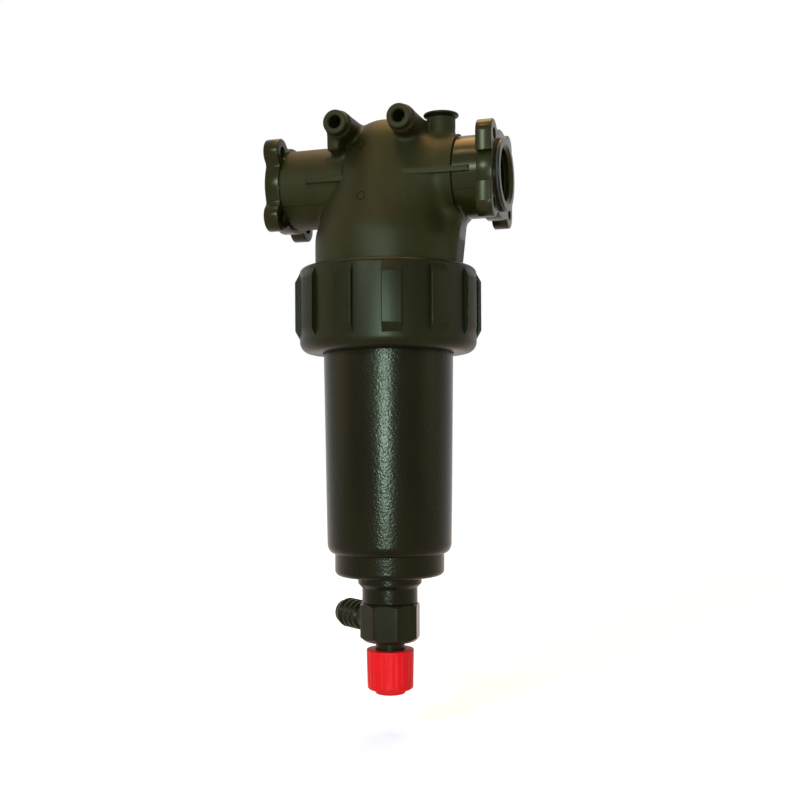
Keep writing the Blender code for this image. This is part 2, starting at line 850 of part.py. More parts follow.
def build_ring_nut():
    bead_top = nut_top_z + nut_bead
    lip_bore_r = bowl_r + running
    path = rounded(
        [
            (nut_bore_r, bead_top, 0),
            (nut_bore_r + nut_bead_width, bead_top, 0.7 * mm),
            (nut_bore_r + nut_bead_width + nut_bead, nut_top_z, 0),
            (nut_body_r, nut_top_z, nut_shoulder_fillet),
            (nut_body_r, nut_bottom_z, nut_foot_fillet),
            (lip_bore_r, nut_bottom_z, 0),
            (lip_bore_r, lip_top_z, 0),
            (nut_bore_r, lip_top_z, 0),
        ],
        arc_steps=3,
    )
    nut = lathe("ring_nut", path, steps=large_steps, closed=True)
    add(nut, merged("pads", [nut_pad(index) for index in range(pad_count)]))
    half_pitch = thread_pitch / 2
    start_z = skirt_bottom_z + thread_lead_in + half_pitch
    ridge = thread_ridge("nut_thread", nut_bore_r + thread_depth / 2, nut_crest_r, start_z, nut_thread_turns)
    add(nut, ridge)
    return finish(nut, black_plastic, 0.4)


# Bowl


def build_bowl():
    base_r = bowl_r - bowl_taper
    inner_top_r = bowl_r - bowl_wall
    inner_base_r = base_r - bowl_wall
    spigot_top = bowl_flange_top_z + bowl_spigot_height
    spigot_bore = bowl_spigot_r - bowl_spigot_wall
    floor_z = bowl_bottom_z + bowl_floor
    foot_bore = bowl_foot_r - bowl_wall
    collar_z = bowl_bottom_z - boss_collar_height
    hole_r = shank_r + running
    well_r = hole_r + valve_seal_cord + seat
    well_z = drain_boss_z + valve_seal_cord
    path = rounded(
        [
            (spigot_bore, spigot_top, 0),
            (bowl_spigot_r, spigot_top, 1.0 * mm),
            *seal_groove(skirt_bore_r, bowl_seal_cord, bowl_spigot_r, bowl_seal_z),
            (bowl_spigot_r, bowl_flange_top_z, 0),
            (bowl_flange_r, bowl_flange_top_z, 0),
            (bowl_flange_r, bowl_flange_bottom_z, 0),
            (bowl_r, bowl_flange_bottom_z, 0),
            (base_r, bowl_step_z, bowl_shoulder_fillet),
            (bowl_foot_r, bowl_step_z, 0),
            (bowl_foot_r, bowl_bottom_z, bowl_foot_fillet),
            (boss_collar_r, bowl_bottom_z, 0),
            (boss_collar_r, collar_z + boss_collar_chamfer, 0),
            (drain_boss_r, collar_z, 0),
            (drain_boss_r, drain_boss_z, 0),
            (well_r, drain_boss_z, 0),
            (well_r, well_z, 0),
            (hole_r, well_z, 0),
            (hole_r, floor_z, 0),
            (cup_r, floor_z, 0),
            (cup_r, cup_top_z, 0),
            (cup_r + cup_wall, cup_top_z, 0),
            (cup_r + cup_wall, floor_z, 0),
            (foot_bore, floor_z, 1.0 * mm),
            (foot_bore, bowl_step_z, 0),
            (inner_base_r, bowl_step_z + bowl_wall, 0),
            (inner_top_r, bowl_flange_bottom_z, 0),
            (spigot_bore, bowl_flange_top_z, 0),
        ],
        arc_steps=3,
    )
    return finish(lathe("bowl", path, steps=large_steps, closed=True), black_plastic, 0.36)


def build_bowl_seal():
    section = seal_section(skirt_bore_r, bowl_seal_cord, bowl_seal_z)
    return finish(lathe("bowl_seal", section, steps=large_steps, closed=True), black_rubber, 0.55)


# Screen cartridge, which stands in the bowl's cup and reaches up into the head's tube

cage_top_z = -tube_bottom - seat - collar_plate
foot_plate_z = cup_top_z + seat
cage_bottom_z = foot_plate_z + collar_plate
top_seal_z = -tube_bottom - seat + cartridge_spigot / 2
foot_seal_z = foot_plate_z - foot_spigot / 2


def build_top_collar():
    """Plate over the cage with the spigot that enters the head."""
    outer_r = cartridge_socket_r - seat
    bore = outer_r - cartridge_wall - cartridge_seal_cord / 2
    plate_top = -tube_bottom - seat
    top = plate_top + cartridge_spigot
    path = rounded(
        [
            (bore, top, 0),
            (outer_r, top, 0.8 * mm),
            *seal_groove(cartridge_socket_r, cartridge_seal_cord, outer_r, top_seal_z),
            (outer_r, plate_top, 0),
            (cage_r, plate_top, 0.6 * mm),
            (cage_r, cage_top_z, 0),
            (bore, cage_top_z, 0),
        ],
        arc_steps=2,
    )
    return finish(lathe("screen_top_collar", path, closed=True), grey_plastic, 0.45)


def build_top_seal():
    section = seal_section(cartridge_socket_r, cartridge_seal_cord, top_seal_z)
    return finish(lathe("screen_top_seal", section, closed=True), black_rubber, 0.55)


def build_cage():
    """Tube of bars and hoops round the screen, cut from one sleeve."""
    inner_r = cage_r - cage_wall
    low = cage_bottom_z + seat
    high = cage_top_z - seat
    path = [(cage_r, high), (cage_r, low), (inner_r, low), (inner_r, high)]
    cage = lathe("screen_cage", path, steps=cage_bars * 3, closed=True)
    bay = (high - low - cage_hoop) / cage_bays
    window_half = math.pi * cage_r / cage_bars - cage_bar_width / 2
    windows = []
    for row in range(cage_bays):
        bottom = low + cage_hoop + row * bay
        for bar in range(cage_bars):
            turn = Matrix.Rotation((bar + 0.5) * 2 * math.pi / cage_bars, 4, "Z")
            corner = (inner_r - cage_wall, -window_half, bottom)
            far = (cage_r + cage_wall, window_half, bottom + bay - cage_hoop)
            windows.append(block("window", corner, far, turn))
    cut(cage, merged("windows", windows))
    return finish(cage, grey_plastic, 0.45)


def build_mesh_screen():
    outer_r = cage_r - cage_wall - seat
    low = cage_bottom_z + seat
    high = cage_top_z - seat
    path = [(outer_r, high), (outer_r, low), (outer_r - screen_t, low), (outer_r - screen_t, high)]
    return finish(lathe("mesh_screen", path, steps=large_steps, closed=True), stainless, 0.3, 1.0)


def build_bottom_collar():
    """Plate under the cage, with the spigot in the bowl's cup and a spoked hub for the cone."""
    outer_r = cup_r - seat
    bore = outer_r - cartridge_wall - cartridge_seal_cord / 2
    low = foot_plate_z - foot_spigot
    path = rounded(
        [
            (bore, cage_bottom_z, 0),
            (cage_r, cage_bottom_z, 0),
            (cage_r, foot_plate_z, 0.6 * mm),
            (outer_r, foot_plate_z, 0),
            *seal_groove(cup_r, cartridge_seal_cord, outer_r, foot_seal_z),
            (outer_r, low, 0.8 * mm),
            (bore, low, 0),
        ],
        arc_steps=2,
    )
    collar = lathe("screen_bottom_collar", path, closed=True)
    hub_low = cage_bottom_z - hub_height
    for spoke in range(spoke_count):
        turn = Matrix.Rotation(spoke * 2 * math.pi / spoke_count, 4, "Z")
        corner = ((cone_peg_r + hub_r) / 2, -spoke_width / 2, hub_low + seat)
        far = (bore + cartridge_wall / 2, spoke_width / 2, cage_bottom_z - seat)
        add(collar, block("spoke", corner, far, turn))
    add(collar, cylinder("hub", hub_r, hub_low, cage_bottom_z, steps=small_steps))
    cut(collar, cylinder("peg_hole", cone_peg_r + seat, hub_low - seat, cage_bottom_z + seat, steps=20))
    return finish(collar, grey_plastic, 0.45)


def build_bottom_seal():
    section = seal_section(cup_r, cartridge_seal_cord, foot_seal_z)
    return finish(lathe("screen_bottom_seal", section, closed=True), black_rubber, 0.55)


def build_flow_cone():
    """Cone that narrows the way down inside the screen, standing on the hub by a peg."""
    foot_z = cage_bottom_z + seat
    top_z = foot_z + cone_height
    stand = hub_height
    path = rounded(
        [
            (0, top_z, 0),
            (cone_tip_r, top_z, cone_tip_r * 0.8),
            (cone_foot_r, foot_z + 2 * stand, 2.0 * mm),
            (hub_r, foot_z + stand, 0.8 * mm),
            (hub_r, foot_z, 0),
            (cone_peg_r, foot_z, 0),
            (cone_peg_r, foot_z - hub_height + seat, 0.6 * mm),
            (0, foot_z - hub_height + seat, 0),
        ],
        arc_steps=3,
    )
    return finish(lathe("flow_cone", path, steps=small_steps), grey_plastic, 0.4)


# Drain valve


def barb_path():
    """Half-section of the hose barb along its own axis, from inside the octagon to the tip."""
    first = barb_reach - barb_tip - barb_count * barb_pitch
    path = [(0, 0), (barb_root_r, 0), (barb_root_r, first)]
    for ridge in range(barb_count):
        start = first + ridge * barb_pitch
        path += [
            (barb_crest_r, start + 0.25 * barb_pitch),
            (barb_crest_r, start + 0.45 * barb_pitch),
            (barb_root_r, start + barb_pitch),
        ]
    path += [(barb_root_r, barb_reach - 0.6 * mm), (barb_root_r - 0.6 * mm, barb_reach), (0, barb_reach)]
    return path


def octagon_solid():
    """Octagonal body, its corners turned off at both ends."""
    corner_r = octagon_apothem / math.cos(math.pi / 8)
    half_side = math.pi / 8
    outline = arc((0, 0), corner_r, valve_heading + half_side, valve_heading + half_side + 2 * math.pi, 8)[:-1]
    made = prism("valve_body", outline, octagon_bottom_z, octagon_top_z)
    flat_r = octagon_apothem - 0.4 * mm
    path = [
        (0, octagon_top_z + seat),
        (flat_r, octagon_top_z + seat),
        (corner_r, octagon_top_z - octagon_chamfer * 0.5),
        (corner_r + seat, octagon_top_z - octagon_chamfer),
        (corner_r + seat, octagon_bottom_z + octagon_chamfer * 1.6),
        (corner_r, octagon_bottom_z + octagon_chamfer),
        (flat_r - 1.2 * mm, octagon_bottom_z - seat),
        (0, octagon_bottom_z - seat),
    ]
    combine(made, lathe("turned", path), "INTERSECT")
    return made


def build_valve_body():
    body = octagon_solid()
    add(body, cylinder("shank", shank_r, octagon_top_z - seat_depth, octagon_top_z + shank_length))
    gland_top = octagon_bottom_z + seat_depth
    gland = [
        (0, gland_top),
        (gland_r, gland_top),
        (gland_r, gland_bottom_z + gland_lead_in),
        (gland_r - gland_lead_in, gland_bottom_z),
        (0, gland_bottom_z),
    ]
    add(body, lathe("gland", gland, steps=medium_steps))
    at_barb = Matrix.Translation((0, 0, barb_z)) @ towards_barb
    add(body, lathe("barb", barb_path(), at_barb, small_steps))
    chamber_z = octagon_top_z - valve_chamber_depth
    passage = [
        (0, octagon_top_z + shank_length + seat),
        (shank_bore_r, octagon_top_z + shank_length + seat),
        (shank_bore_r, octagon_top_z - seat_depth / 2),
        (seat_bore_r, seat_z + seat_depth * 0.2),
        (seat_bore_r, seat_z),
        (valve_chamber_r, seat_z - (valve_chamber_r - seat_bore_r) / 2),
        (valve_chamber_r, chamber_z),
        (guide_r, chamber_z - (valve_chamber_r - guide_r) / 2),
        (guide_r, gland_bottom_z - seat),
        (0, gland_bottom_z - seat),
    ]
    cut(body, lathe("passage", passage, steps=small_steps))
    cut(body, cylinder("barb_bore", barb_bore_r, 0, barb_reach + seat, at_barb, small_steps))
    return finish(body, black_plastic, 0.45)


def build_valve_seal():
    wall_r = shank_r + running + valve_seal_cord + seat
    section = seal_section(wall_r, valve_seal_cord - seal_fit, drain_boss_z + valve_seal_cord / 2)
    return finish(lathe("valve_seal", section, closed=True), black_rubber, 0.55)


plunger_r = guide_r - running
tip_seal_z = seat_z - plunger_seal_cord / 2 - seat
tip_r = seat_bore_r - plunger_seal_cord / 2 - seal_fit
tip_z = seat_z + plunger_tip_height
shoulder_z = tip_seal_z - plunger_seal_cord / 2 - seal_fit
plunger_foot_z = knob_floor_z + seat
journal_z = knob_floor_bottom_z - seat


gland_seal_z = octagon_top_z - plunger_seal_drop


def build_plunger():
    pilot_r = screw_r + seat
    pilot_top = journal_z + screw_length
    disc_z = shoulder_z - plunger_disc_t
    gland_top = gland_seal_z + 1.4 * plunger_seal_cord
    path = rounded(
        [
            (0, tip_z, 0),
            (tip_r, tip_z, 0.5 * mm),
            (tip_r, shoulder_z, 0),
            (plunger_r, shoulder_z, 0),
            (plunger_r, disc_z, 0),
            (plunger_stem_r, disc_z, 0),
            (plunger_stem_r, gland_top, 0),
            (plunger_r, gland_top, 0),
            *seal_groove(guide_r, plunger_seal_cord, plunger_r, gland_seal_z),
            (plunger_r, plunger_foot_z, 0),
            (journal_r, plunger_foot_z, 0),
            (journal_r, journal_z, 0.2 * mm),
            (pilot_r, journal_z, 0),
            (pilot_r, pilot_top, 0),
            (0, pilot_top + pilot_r, 0),
        ],
        arc_steps=2,
    )
    return finish(lathe("drain_plunger", path, steps=small_steps), grey_plastic, 0.35)


def build_plunger_tip_seal():
    """Ring round the plunger's tip, which closes the seat from below."""
    section = seal_section(tip_r + plunger_seal_cord + 2 * seal_fit, plunger_seal_cord, tip_seal_z)
    return finish(lathe("plunger_tip_seal", section, steps=small_steps, closed=True), black_rubber, 0.55)


def build_plunger_gland_seal():
    section = seal_section(guide_r, plunger_seal_cord, gland_seal_z)
    return finish(lathe("plunger_gland_seal", section, steps=small_steps, closed=True), black_rubber, 0.55)


washer_top_z = journal_z - seat
washer_bottom_z = washer_top_z - washer_t
screw_head_z = washer_bottom_z - seat


def build_plunger_washer():
    hole_r = screw_r + seat
    path = [
        (washer_r, washer_top_z),
        (washer_r, washer_bottom_z),
        (hole_r, washer_bottom_z),
        (hole_r, washer_top_z),
    ]
    return finish(lathe("plunger_washer", path, steps=small_steps, closed=True), stainless, 0.3, 1.0)


def build_plunger_screw():
    head_bottom = screw_head_z - screw_head_t
    top = journal_z + screw_length - 2 * seat
    path = rounded(
        [
            (0, top, 0),
            (screw_r, top, 0.4 * mm),
            (screw_r, screw_head_z, 0),
            (screw_head_r, screw_head_z, 0),
            (screw_head_r, head_bottom, 0.6 * mm),
            (0, head_bottom, 0),
        ],
        arc_steps=3,
    )
    screw = lathe("plunger_screw", path, steps=24)
    reach = screw_head_r * 1.2
    low = (-reach, -screw_slot / 2, head_bottom - seat)
    high = (reach, screw_slot / 2, head_bottom + screw_head_t / 2)
    cut(screw, block("slot", low, high))
    return finish(screw, stainless, 0.25, 1.0)


# Knob


def build_knob():
    """Fluted knob: the flutes are pressed into the side and fade out at both ends."""
    recess_r = gland_r + running
    foot_r = knob_r - knob_taper
    hole_r = journal_r + running
    side_top = knob_top_z - 1.2 * knob_rim_fillet
    side_bottom = knob_bottom_z + 1.2 * knob_foot_fillet
    levels = [side_top + (side_bottom - side_top) * share for share in (0, 0.06, 0.94, 1)]
    side = [(knob_r - knob_taper * (knob_top_z - z) / knob_height, z) for z in levels]
    rim = rounded(
        [(0, knob_top_z, 0), (knob_r, knob_top_z, knob_rim_fillet), (*side[0], 0)], arc_steps=3
    )
    foot_corners = [(*side[-1], 0), (foot_r, knob_bottom_z, knob_foot_fillet), (0, knob_bottom_z, 0)]
    foot = rounded(foot_corners, arc_steps=2)
    knob = lathe("drain_knob", [(0, knob_top_z)] + rim[1:-1] + side + foot[1:], steps=knob_flutes * 2)
    pressed = levels[1:3]
    for vert in knob.data.vertices:
        radius = math.hypot(vert.co.x, vert.co.y)
        on_side = radius > foot_r - seat and pressed[1] - seat < vert.co.z < pressed[0] + seat
        if on_side:
            heading = math.atan2(vert.co.y, vert.co.x)
            hollow = knob_flute_depth * (0.5 + 0.5 * math.cos(knob_flutes * heading))
            vert.co.x *= (radius - hollow) / radius
            vert.co.y *= (radius - hollow) / radius
    inside = [
        (0, knob_top_z + seat),
        (recess_r, knob_top_z + seat),
        (recess_r, knob_floor_z),
        (hole_r, knob_floor_z),
        (hole_r, knob_floor_bottom_z),
        (knob_counterbore_r, knob_floor_bottom_z),
        (knob_counterbore_r, knob_bottom_z - seat),
        (0, knob_bottom_z - seat),
    ]
    cut(knob, lathe("knob_inside", inside, steps=small_steps))
    return finish(knob, red_plastic, 0.35, crease=40)


def build_knob_cap():
    top = knob_bottom_z - seat
    plug_r = knob_counterbore_r - running
    path = rounded(
        [
            (0, top + seat + cap_plug, 0),
            (plug_r, top + seat + cap_plug, 0.4 * mm),
            (plug_r, top, 0),
            (cap_r, top, 0),
            (cap_r, top - cap_t, 0.7 * mm),
            (0, top - cap_t, 0),
        ],
        arc_steps=3,
    )
    return finish(lathe("knob_cap", path, steps=medium_steps), red_plastic, 0.35)


def main():
    for old in list(bpy.data.objects):
        bpy.data.objects.remove(old)
    build_head()
    build_outlet_seal()
    build_gauge_plug()
    build_gauge_plug_seal()
    build_ring_nut()
    build_bowl()
    build_bowl_seal()
    build_top_collar()
    build_top_seal()
    build_cage()
    build_mesh_screen()
    build_bottom_collar()
    build_bottom_seal()
    build_flow_cone()
    build_valve_body()
    build_valve_seal()
    build_plunger()
    build_plunger_tip_seal()
    build_plunger_gland_seal()
    build_plunger_washer()
    build_plunger_screw()
    build_knob()
    build_knob_cap()


main()
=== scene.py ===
# Looks of the inline filter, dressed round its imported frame.
# Metres, +Z up the bowl's axis. The inlet is at -X, the outlet at +X and the two
# bracket bosses open towards -Y, the side that the camera sees.

import math

import bmesh
import bpy
from mathutils import Matrix, Vector


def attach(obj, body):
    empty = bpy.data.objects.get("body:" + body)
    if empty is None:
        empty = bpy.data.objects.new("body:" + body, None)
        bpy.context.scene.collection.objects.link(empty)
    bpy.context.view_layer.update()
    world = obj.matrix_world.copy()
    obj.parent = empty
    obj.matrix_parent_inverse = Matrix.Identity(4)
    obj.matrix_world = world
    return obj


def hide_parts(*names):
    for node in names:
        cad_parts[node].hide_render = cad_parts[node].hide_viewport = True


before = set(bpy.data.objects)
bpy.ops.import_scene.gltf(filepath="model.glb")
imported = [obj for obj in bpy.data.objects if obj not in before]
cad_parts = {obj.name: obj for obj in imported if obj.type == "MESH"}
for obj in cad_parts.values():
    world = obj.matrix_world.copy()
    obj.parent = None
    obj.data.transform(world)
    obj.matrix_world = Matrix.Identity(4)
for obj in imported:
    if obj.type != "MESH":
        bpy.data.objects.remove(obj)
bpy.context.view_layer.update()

mm = 0.001

# Facets round a full turn
fine = 128
medium = 72
small = 48

# Blender's solver for every union and cut
solver = "MANIFOLD"

# Dome and skirt of the head
dome_top = 37.7 * mm
dome_r = 43 * mm
crown_r = 26 * mm
crown_z = dome_top - crown_r
dome_slope = math.radians(19.8)
dome_foot_fillet = 30 * mm
head_wall = 4 * mm
skirt_z = -50.8 * mm
skirt_foot_z = -88.9 * mm
skirt_root_r = 41.4 * mm
skirt_bore_r = 37.6 * mm

# Thread between the skirt and the ring nut
thread_pitch = 5 * mm
thread_depth = 1.6 * mm
thread_crest = 1.3 * mm
thread_foot = 3.1 * mm
thread_lead_in = 2.2 * mm

# Ports
pipe_r = 23.7 * mm
bore_r = 15.15 * mm
bore_mouth_r = 17 * mm
band_r = 24.5 * mm
band_top = 8 * mm
inlet_band_bottom = -13.2 * mm
outlet_band_bottom = -11 * mm
inlet_face = 68.2 * mm
outlet_face = 69.4 * mm
flange_t = 9.2 * mm
flange_hub_r = 25.5 * mm
flange_lobe_r = 8.3 * mm
flange_fillet = 3 * mm
flank_end = 8.6 * mm
flank_root = 22 * mm
bolt_half = 19 * mm
bolt_hole_r = 3.3 * mm
spigot_r = 20.7 * mm
spigot_end = 72.3 * mm
spigot_groove_depth = 1.2 * mm
socket_r = 21.1 * mm
socket_depth = 4.8 * mm
inlet_inner = flange_t - inlet_face
outlet_inner = outlet_face - flange_t
outlet_bore_end = 29 * mm
pipe_thread_pitch = 2.31 * mm
pipe_thread_depth = 1.2 * mm
neck_bottom = 22 * mm
neck_r = 24 * mm
collar_start = 36.5 * mm
collar_end = 45.2 * mm
collar_r = 25.1 * mm
duct_half = 15 * mm
duct_top = -14 * mm

# Passages inside the head
tube_r = 24.5 * mm
tube_bore_r = 19.5 * mm
tube_foot = -62 * mm
chamber_top = -24 * mm
cartridge_socket_r = 21 * mm

# Parting rib along both pipes
rib_inlet_end = -42.3 * mm
rib_outlet_end = 56 * mm
rib_reach = 25.8 * mm
rib_low = -2 * mm
rib_high = 1.6 * mm

# Bosses and gauge port
boss_half = 19 * mm
boss_z = 28.8 * mm
boss_r = 7 * mm
boss_root_r = 8 * mm
boss_mouth = 38 * mm
boss_step = 33 * mm
boss_hole_r = 3.6 * mm
gauge_x = 33.2 * mm
gauge_top = 35.6 * mm
gauge_r = 8.4 * mm
gauge_well_r = 7.2 * mm
gauge_well_depth = 1.5 * mm
gauge_bore_r = 5.7 * mm
plug_r = 10.3 * mm
plug_shank_r = 5.3 * mm
web_thickness = 7.7 * mm
web_foot_z = 13 * mm
mark_r = 2.3 * mm
mark_width = 0.5 * mm
mark_depth = 0.6 * mm

# Ring nut
nut_top = -50.8 * mm
nut_foot = -100.5 * mm
nut_bore_r = 43.4 * mm
nut_r = 52.25 * mm
nut_lip_z = -95.5 * mm
pad_count = 12
pad_angle = math.radians(12)
pad_proud = 2.8 * mm
pad_top = -53.7 * mm
pad_foot = -92.4 * mm
pad_heading = math.radians(-69.6)

# Bowl
bowl_r = 38.4 * mm
bowl_base_r = 36.8 * mm
bowl_wall = 3.6 * mm
bowl_flange_top = -89.2 * mm
bowl_flange_foot = -95.2 * mm
bowl_step_z = -218.2 * mm
bowl_foot_r = 32.4 * mm
bowl_foot_z = -231.4 * mm
bowl_flange_r = 43 * mm
bowl_foot_bore_r = 28.8 * mm
cup_bore_r = 15 * mm
cup_r = 17.6 * mm
cup_height = 13 * mm
foot_disc_r = 18.9 * mm
valve_hole_r = 10.6 * mm
valve_seal_r = 12.9 * mm
drain_boss_r = 16.4 * mm
drain_boss_z = -247.5 * mm

# Drain valve and knob
valve_heading = math.radians(144)
octagon_apothem = 16.85 * mm
octagon_top = -247.8 * mm
octagon_foot = -270.4 * mm
valve_shank_r = 10.2 * mm
valve_way_r = 6.2 * mm
valve_throat_r = 4 * mm
valve_room_r = 7.6 * mm
gland_r = 8.6 * mm
gland_bore_r = 5.4 * mm
gland_foot = -287.9 * mm
barb_z = -259.1 * mm
barb_reach = 49 * mm
barb_crest_r = 9 * mm
barb_root_r = 7.5 * mm
barb_bore_r = 5.4 * mm
knob_r = 14.1 * mm
knob_top = -275.3 * mm
knob_foot = -298.9 * mm
knob_web_top = -288.5 * mm
knob_web_foot = -293.1 * mm
knob_hole_r = 3.6 * mm
knob_well_r = 6.2 * mm
cap_r = 9.2 * mm
cap_shank_r = 5.8 * mm

# Frames and axes that local Z is laid along
upright = Matrix.Identity(4)
along_x = Matrix(((0, 0, 1, 0), (1, 0, 0, 0), (0, 1, 0, 0), (0, 0, 0, 1)))
towards_front = Matrix(((1, 0, 0, 0), (0, 0, -1, 0), (0, 1, 0, 0), (0, 0, 0, 1)))
gauge_axis = Matrix.Translation((gauge_x, 0, 0))
barb_axis = Matrix.Translation((0, 0, barb_z)) @ Matrix.Rotation(valve_heading, 4, "Z") @ along_x
boss_axes = [Matrix.Translation((side * boss_half, 0, boss_z)) @ towards_front for side in (-1, 1)]


# Outlines


def filleted(corners, steps=5):
    """The path through (u, v) or (u, v, fillet) corners, with each fillet drawn as an arc."""
    path = []
    for index, (u, v, *rest) in enumerate(corners):
        if not rest:
            path.append((u, v))
            continue
        fillet = rest[0]
        here = Vector((u, v))
        back = Vector(corners[index - 1][:2]) - here
        ahead = Vector(corners[(index + 1) % len(corners)][:2]) - here
        half = back.angle(ahead) / 2
        reach = min(fillet / math.tan(half), 0.49 * back.length, 0.49 * ahead.length)
        radius = reach * math.tan(half)
        middle = (back.normalized() + ahead.normalized()).normalized()
        centre = here + middle * (radius / math.sin(half))
        first = back.normalized() * reach + here - centre
        last = ahead.normalized() * reach + here - centre
        sweep = math.pi - 2 * half
        for step in range(steps + 1):
            share = step / steps
            spoke = first * math.sin((1 - share) * sweep) + last * math.sin(share * sweep)
            path.append(tuple(centre + spoke / math.sin(sweep)))
    return path


def arc(radius, start, end, steps, centre=(0, 0)):
    angles = [start + (end - start) * step / steps for step in range(steps + 1)]
    return [(centre[0] + radius * math.cos(a), centre[1] + radius * math.sin(a)) for a in angles]


def ring_of(radius, steps):
    return arc(radius, 0, 2 * math.pi, steps)[:-1]


# Solids


def mesh_object(name, bm):
    mesh = bpy.data.meshes.new(name)
    bm.to_mesh(mesh)
    bm.free()
    piece = bpy.data.objects.new(name, mesh)
    bpy.context.scene.collection.objects.link(piece)
    return piece


def new_piece(name, bm, place=upright):
    """A mesh object from a bmesh, its place in its mesh and its faces pointing outwards."""
    bmesh.ops.remove_doubles(bm, verts=bm.verts, dist=0.0004 * mm)
    bmesh.ops.recalc_face_normals(bm, faces=bm.faces)
    piece = mesh_object(name, bm)
    piece.data.transform(place)
    return piece


def spin(bm, geom, angle, steps, **more):
    """Turns geometry about local Z."""
    return bmesh.ops.spin(bm, geom=geom, cent=(0, 0, 0), axis=(0, 0, 1), angle=angle, steps=steps, **more)


def bevel(bm, edges, offset, segments, **more):
    bmesh.ops.bevel(
        bm, geom=edges, offset=offset, segments=segments, profile=0.5, affect="EDGES", material=-1, **more
    )


def prism(outline, low, high):
    """An outline drawn out along local Z."""
    bm = bmesh.new()
    base = bm.faces.new([bm.verts.new((u, v, low)) for u, v in outline])
    drawn = bmesh.ops.extrude_face_region(bm, geom=[base])
    top = [item for item in drawn["geom"] if isinstance(item, bmesh.types.BMVert)]
    bmesh.ops.translate(bm, verts=top, vec=(0, 0, high - low))
    bm.normal_update()
    return bm


def turned(name, profile, place=upright, steps=fine, closed=False):
    """A solid of revolution about local Z from an (r, z) half-section."""
    bm = bmesh.new()
    verts = [bm.verts.new((r, 0, z)) for r, z in profile]
    pairs = list(zip(verts, verts[1:]))
    if closed:
        pairs.append((verts[-1], verts[0]))
    edges = [bm.edges.new(pair) for pair in pairs]
    spin(bm, verts + edges, 2 * math.pi, steps, use_merge=True)
    return new_piece(name, bm, place)


def lathed(name, corners, place=upright, steps=fine, fillet_steps=5):
    """A turned solid from the corners of its outside, closed at the axis."""
    section = [(0, corners[0][1]), *corners, (0, corners[-1][1])]
    return turned(name, filleted(section, fillet_steps), place, steps)


def lathed_ring(name, corners, place=upright, steps=fine, fillet_steps=5):
    """A turned solid from all the corners of its section, clear of the axis."""
    return turned(name, filleted(corners, fillet_steps), place, steps, closed=True)


def extruded(name, outline, low, high, place=upright, soften=0.0):
    """An outline extruded along local Z, its two rims rounded by soften."""
    bm = prism(outline, low, high)
    if soften > 0:
        rims = [e for e in bm.edges if abs(e.verts[0].co.z - e.verts[1].co.z) < 1e-9]
        bevel(bm, rims, soften, 3, clamp_overlap=True)
    return new_piece(name, bm, place)


def rod(name, radius, low, high, place=upright, steps=medium):
    return lathed(name, [(radius, low), (radius, high)], place, steps)


def block(name, low, high):
    bm = bmesh.new()
    bmesh.ops.create_cube(bm, size=1)
    size = Vector(high) - Vector(low)
    bmesh.ops.scale(bm, verts=bm.verts, vec=size)
    bmesh.ops.translate(bm, verts=bm.verts, vec=Vector(low) + size / 2)
    return new_piece(name, bm)


def gathered(name, pieces):
    """Several solids in one mesh; the pieces are used up."""
    bm = bmesh.new()
    for piece in pieces:
        bm.from_mesh(piece.data)
        bpy.data.objects.remove(piece)
    return mesh_object(name, bm)


def applied(piece):
    """Bakes the piece's modifiers into its mesh."""
    bpy.context.view_layer.update()
    graph = bpy.context.evaluated_depsgraph_get()
    result = bpy.data.meshes.new_from_object(piece.evaluated_get(graph))
    piece.modifiers.clear()
    piece.data = result
    return piece


def booled(base, tool, operation):
    step = base.modifiers.new(operation, "BOOLEAN")
    step.operation = operation
    step.solver = solver
    step.object = tool
    applied(base)
    bpy.data.objects.remove(tool)
    return base


def joined(base, *tools):
    for tool in tools:
        booled(base, tool, "UNION")
    return base


def carved(base, *tools):
    for tool in tools:
        booled(base, tool, "DIFFERENCE")
    return base


def blended(piece, voxel, rounds):
    """Remeshes a solid evenly and relaxes it, so that its forms run into each other in fillets."""
    step = piece.modifiers.new("even", "REMESH")
    step.mode = "VOXEL"
    step.voxel_size = voxel
    step.use_smooth_shade = True
    return relaxed(applied(piece), rounds)


def relaxed(piece, rounds, low=(-999, -999, -999), high=(999, 999, 999)):
    """Evens out what lies in a box, given in mm, so that a form there fades into its neighbour."""
    bm = bmesh.new()
    bm.from_mesh(piece.data)
    inside = [v for v in bm.verts if all(low[i] * mm < v.co[i] < high[i] * mm for i in range(3))]
    for _ in range(rounds):
        bmesh.ops.smooth_vert(
            bm, verts=inside, factor=0.5, use_axis_x=True, use_axis_y=True, use_axis_z=True
        )
    bm.to_mesh(piece.data)
    bm.free()
    return piece


def thread(name, buried_r, crest_r, start_z, turns, steps=96):
    """A right-handed helical ridge, sunk into the wall that carries it."""
    section = [
        (buried_r, -thread_foot / 2),
        (crest_r, -thread_crest / 2),
        (crest_r, thread_crest / 2),
        (buried_r, thread_foot / 2),
    ]
    count = round(turns * steps)
    bm = bmesh.new()
    verts = [bm.verts.new((r, 0, start_z + z)) for r, z in section]
    edges = [bm.edges.new((verts[i], verts[(i + 1) % 4])) for i in range(4)]
    rise = (0, 0, thread_pitch * turns / count)
    swept = spin(bm, verts + edges, turns * 2 * math.pi, count, dvec=rise)
    last = [item for item in swept["geom_last"] if isinstance(item, bmesh.types.BMEdge)]
    bmesh.ops.edgeloop_fill(bm, edges=edges)
    bmesh.ops.edgeloop_fill(bm, edges=last)
    return new_piece(name, bm)


def smooth(piece, crease=35):
    """Smooth shading, apart from edges sharper than the crease, in degrees."""
    piece.data.shade_smooth()
    piece.data.set_sharp_from_angle(angle=math.radians(crease))
    return piece


# Head


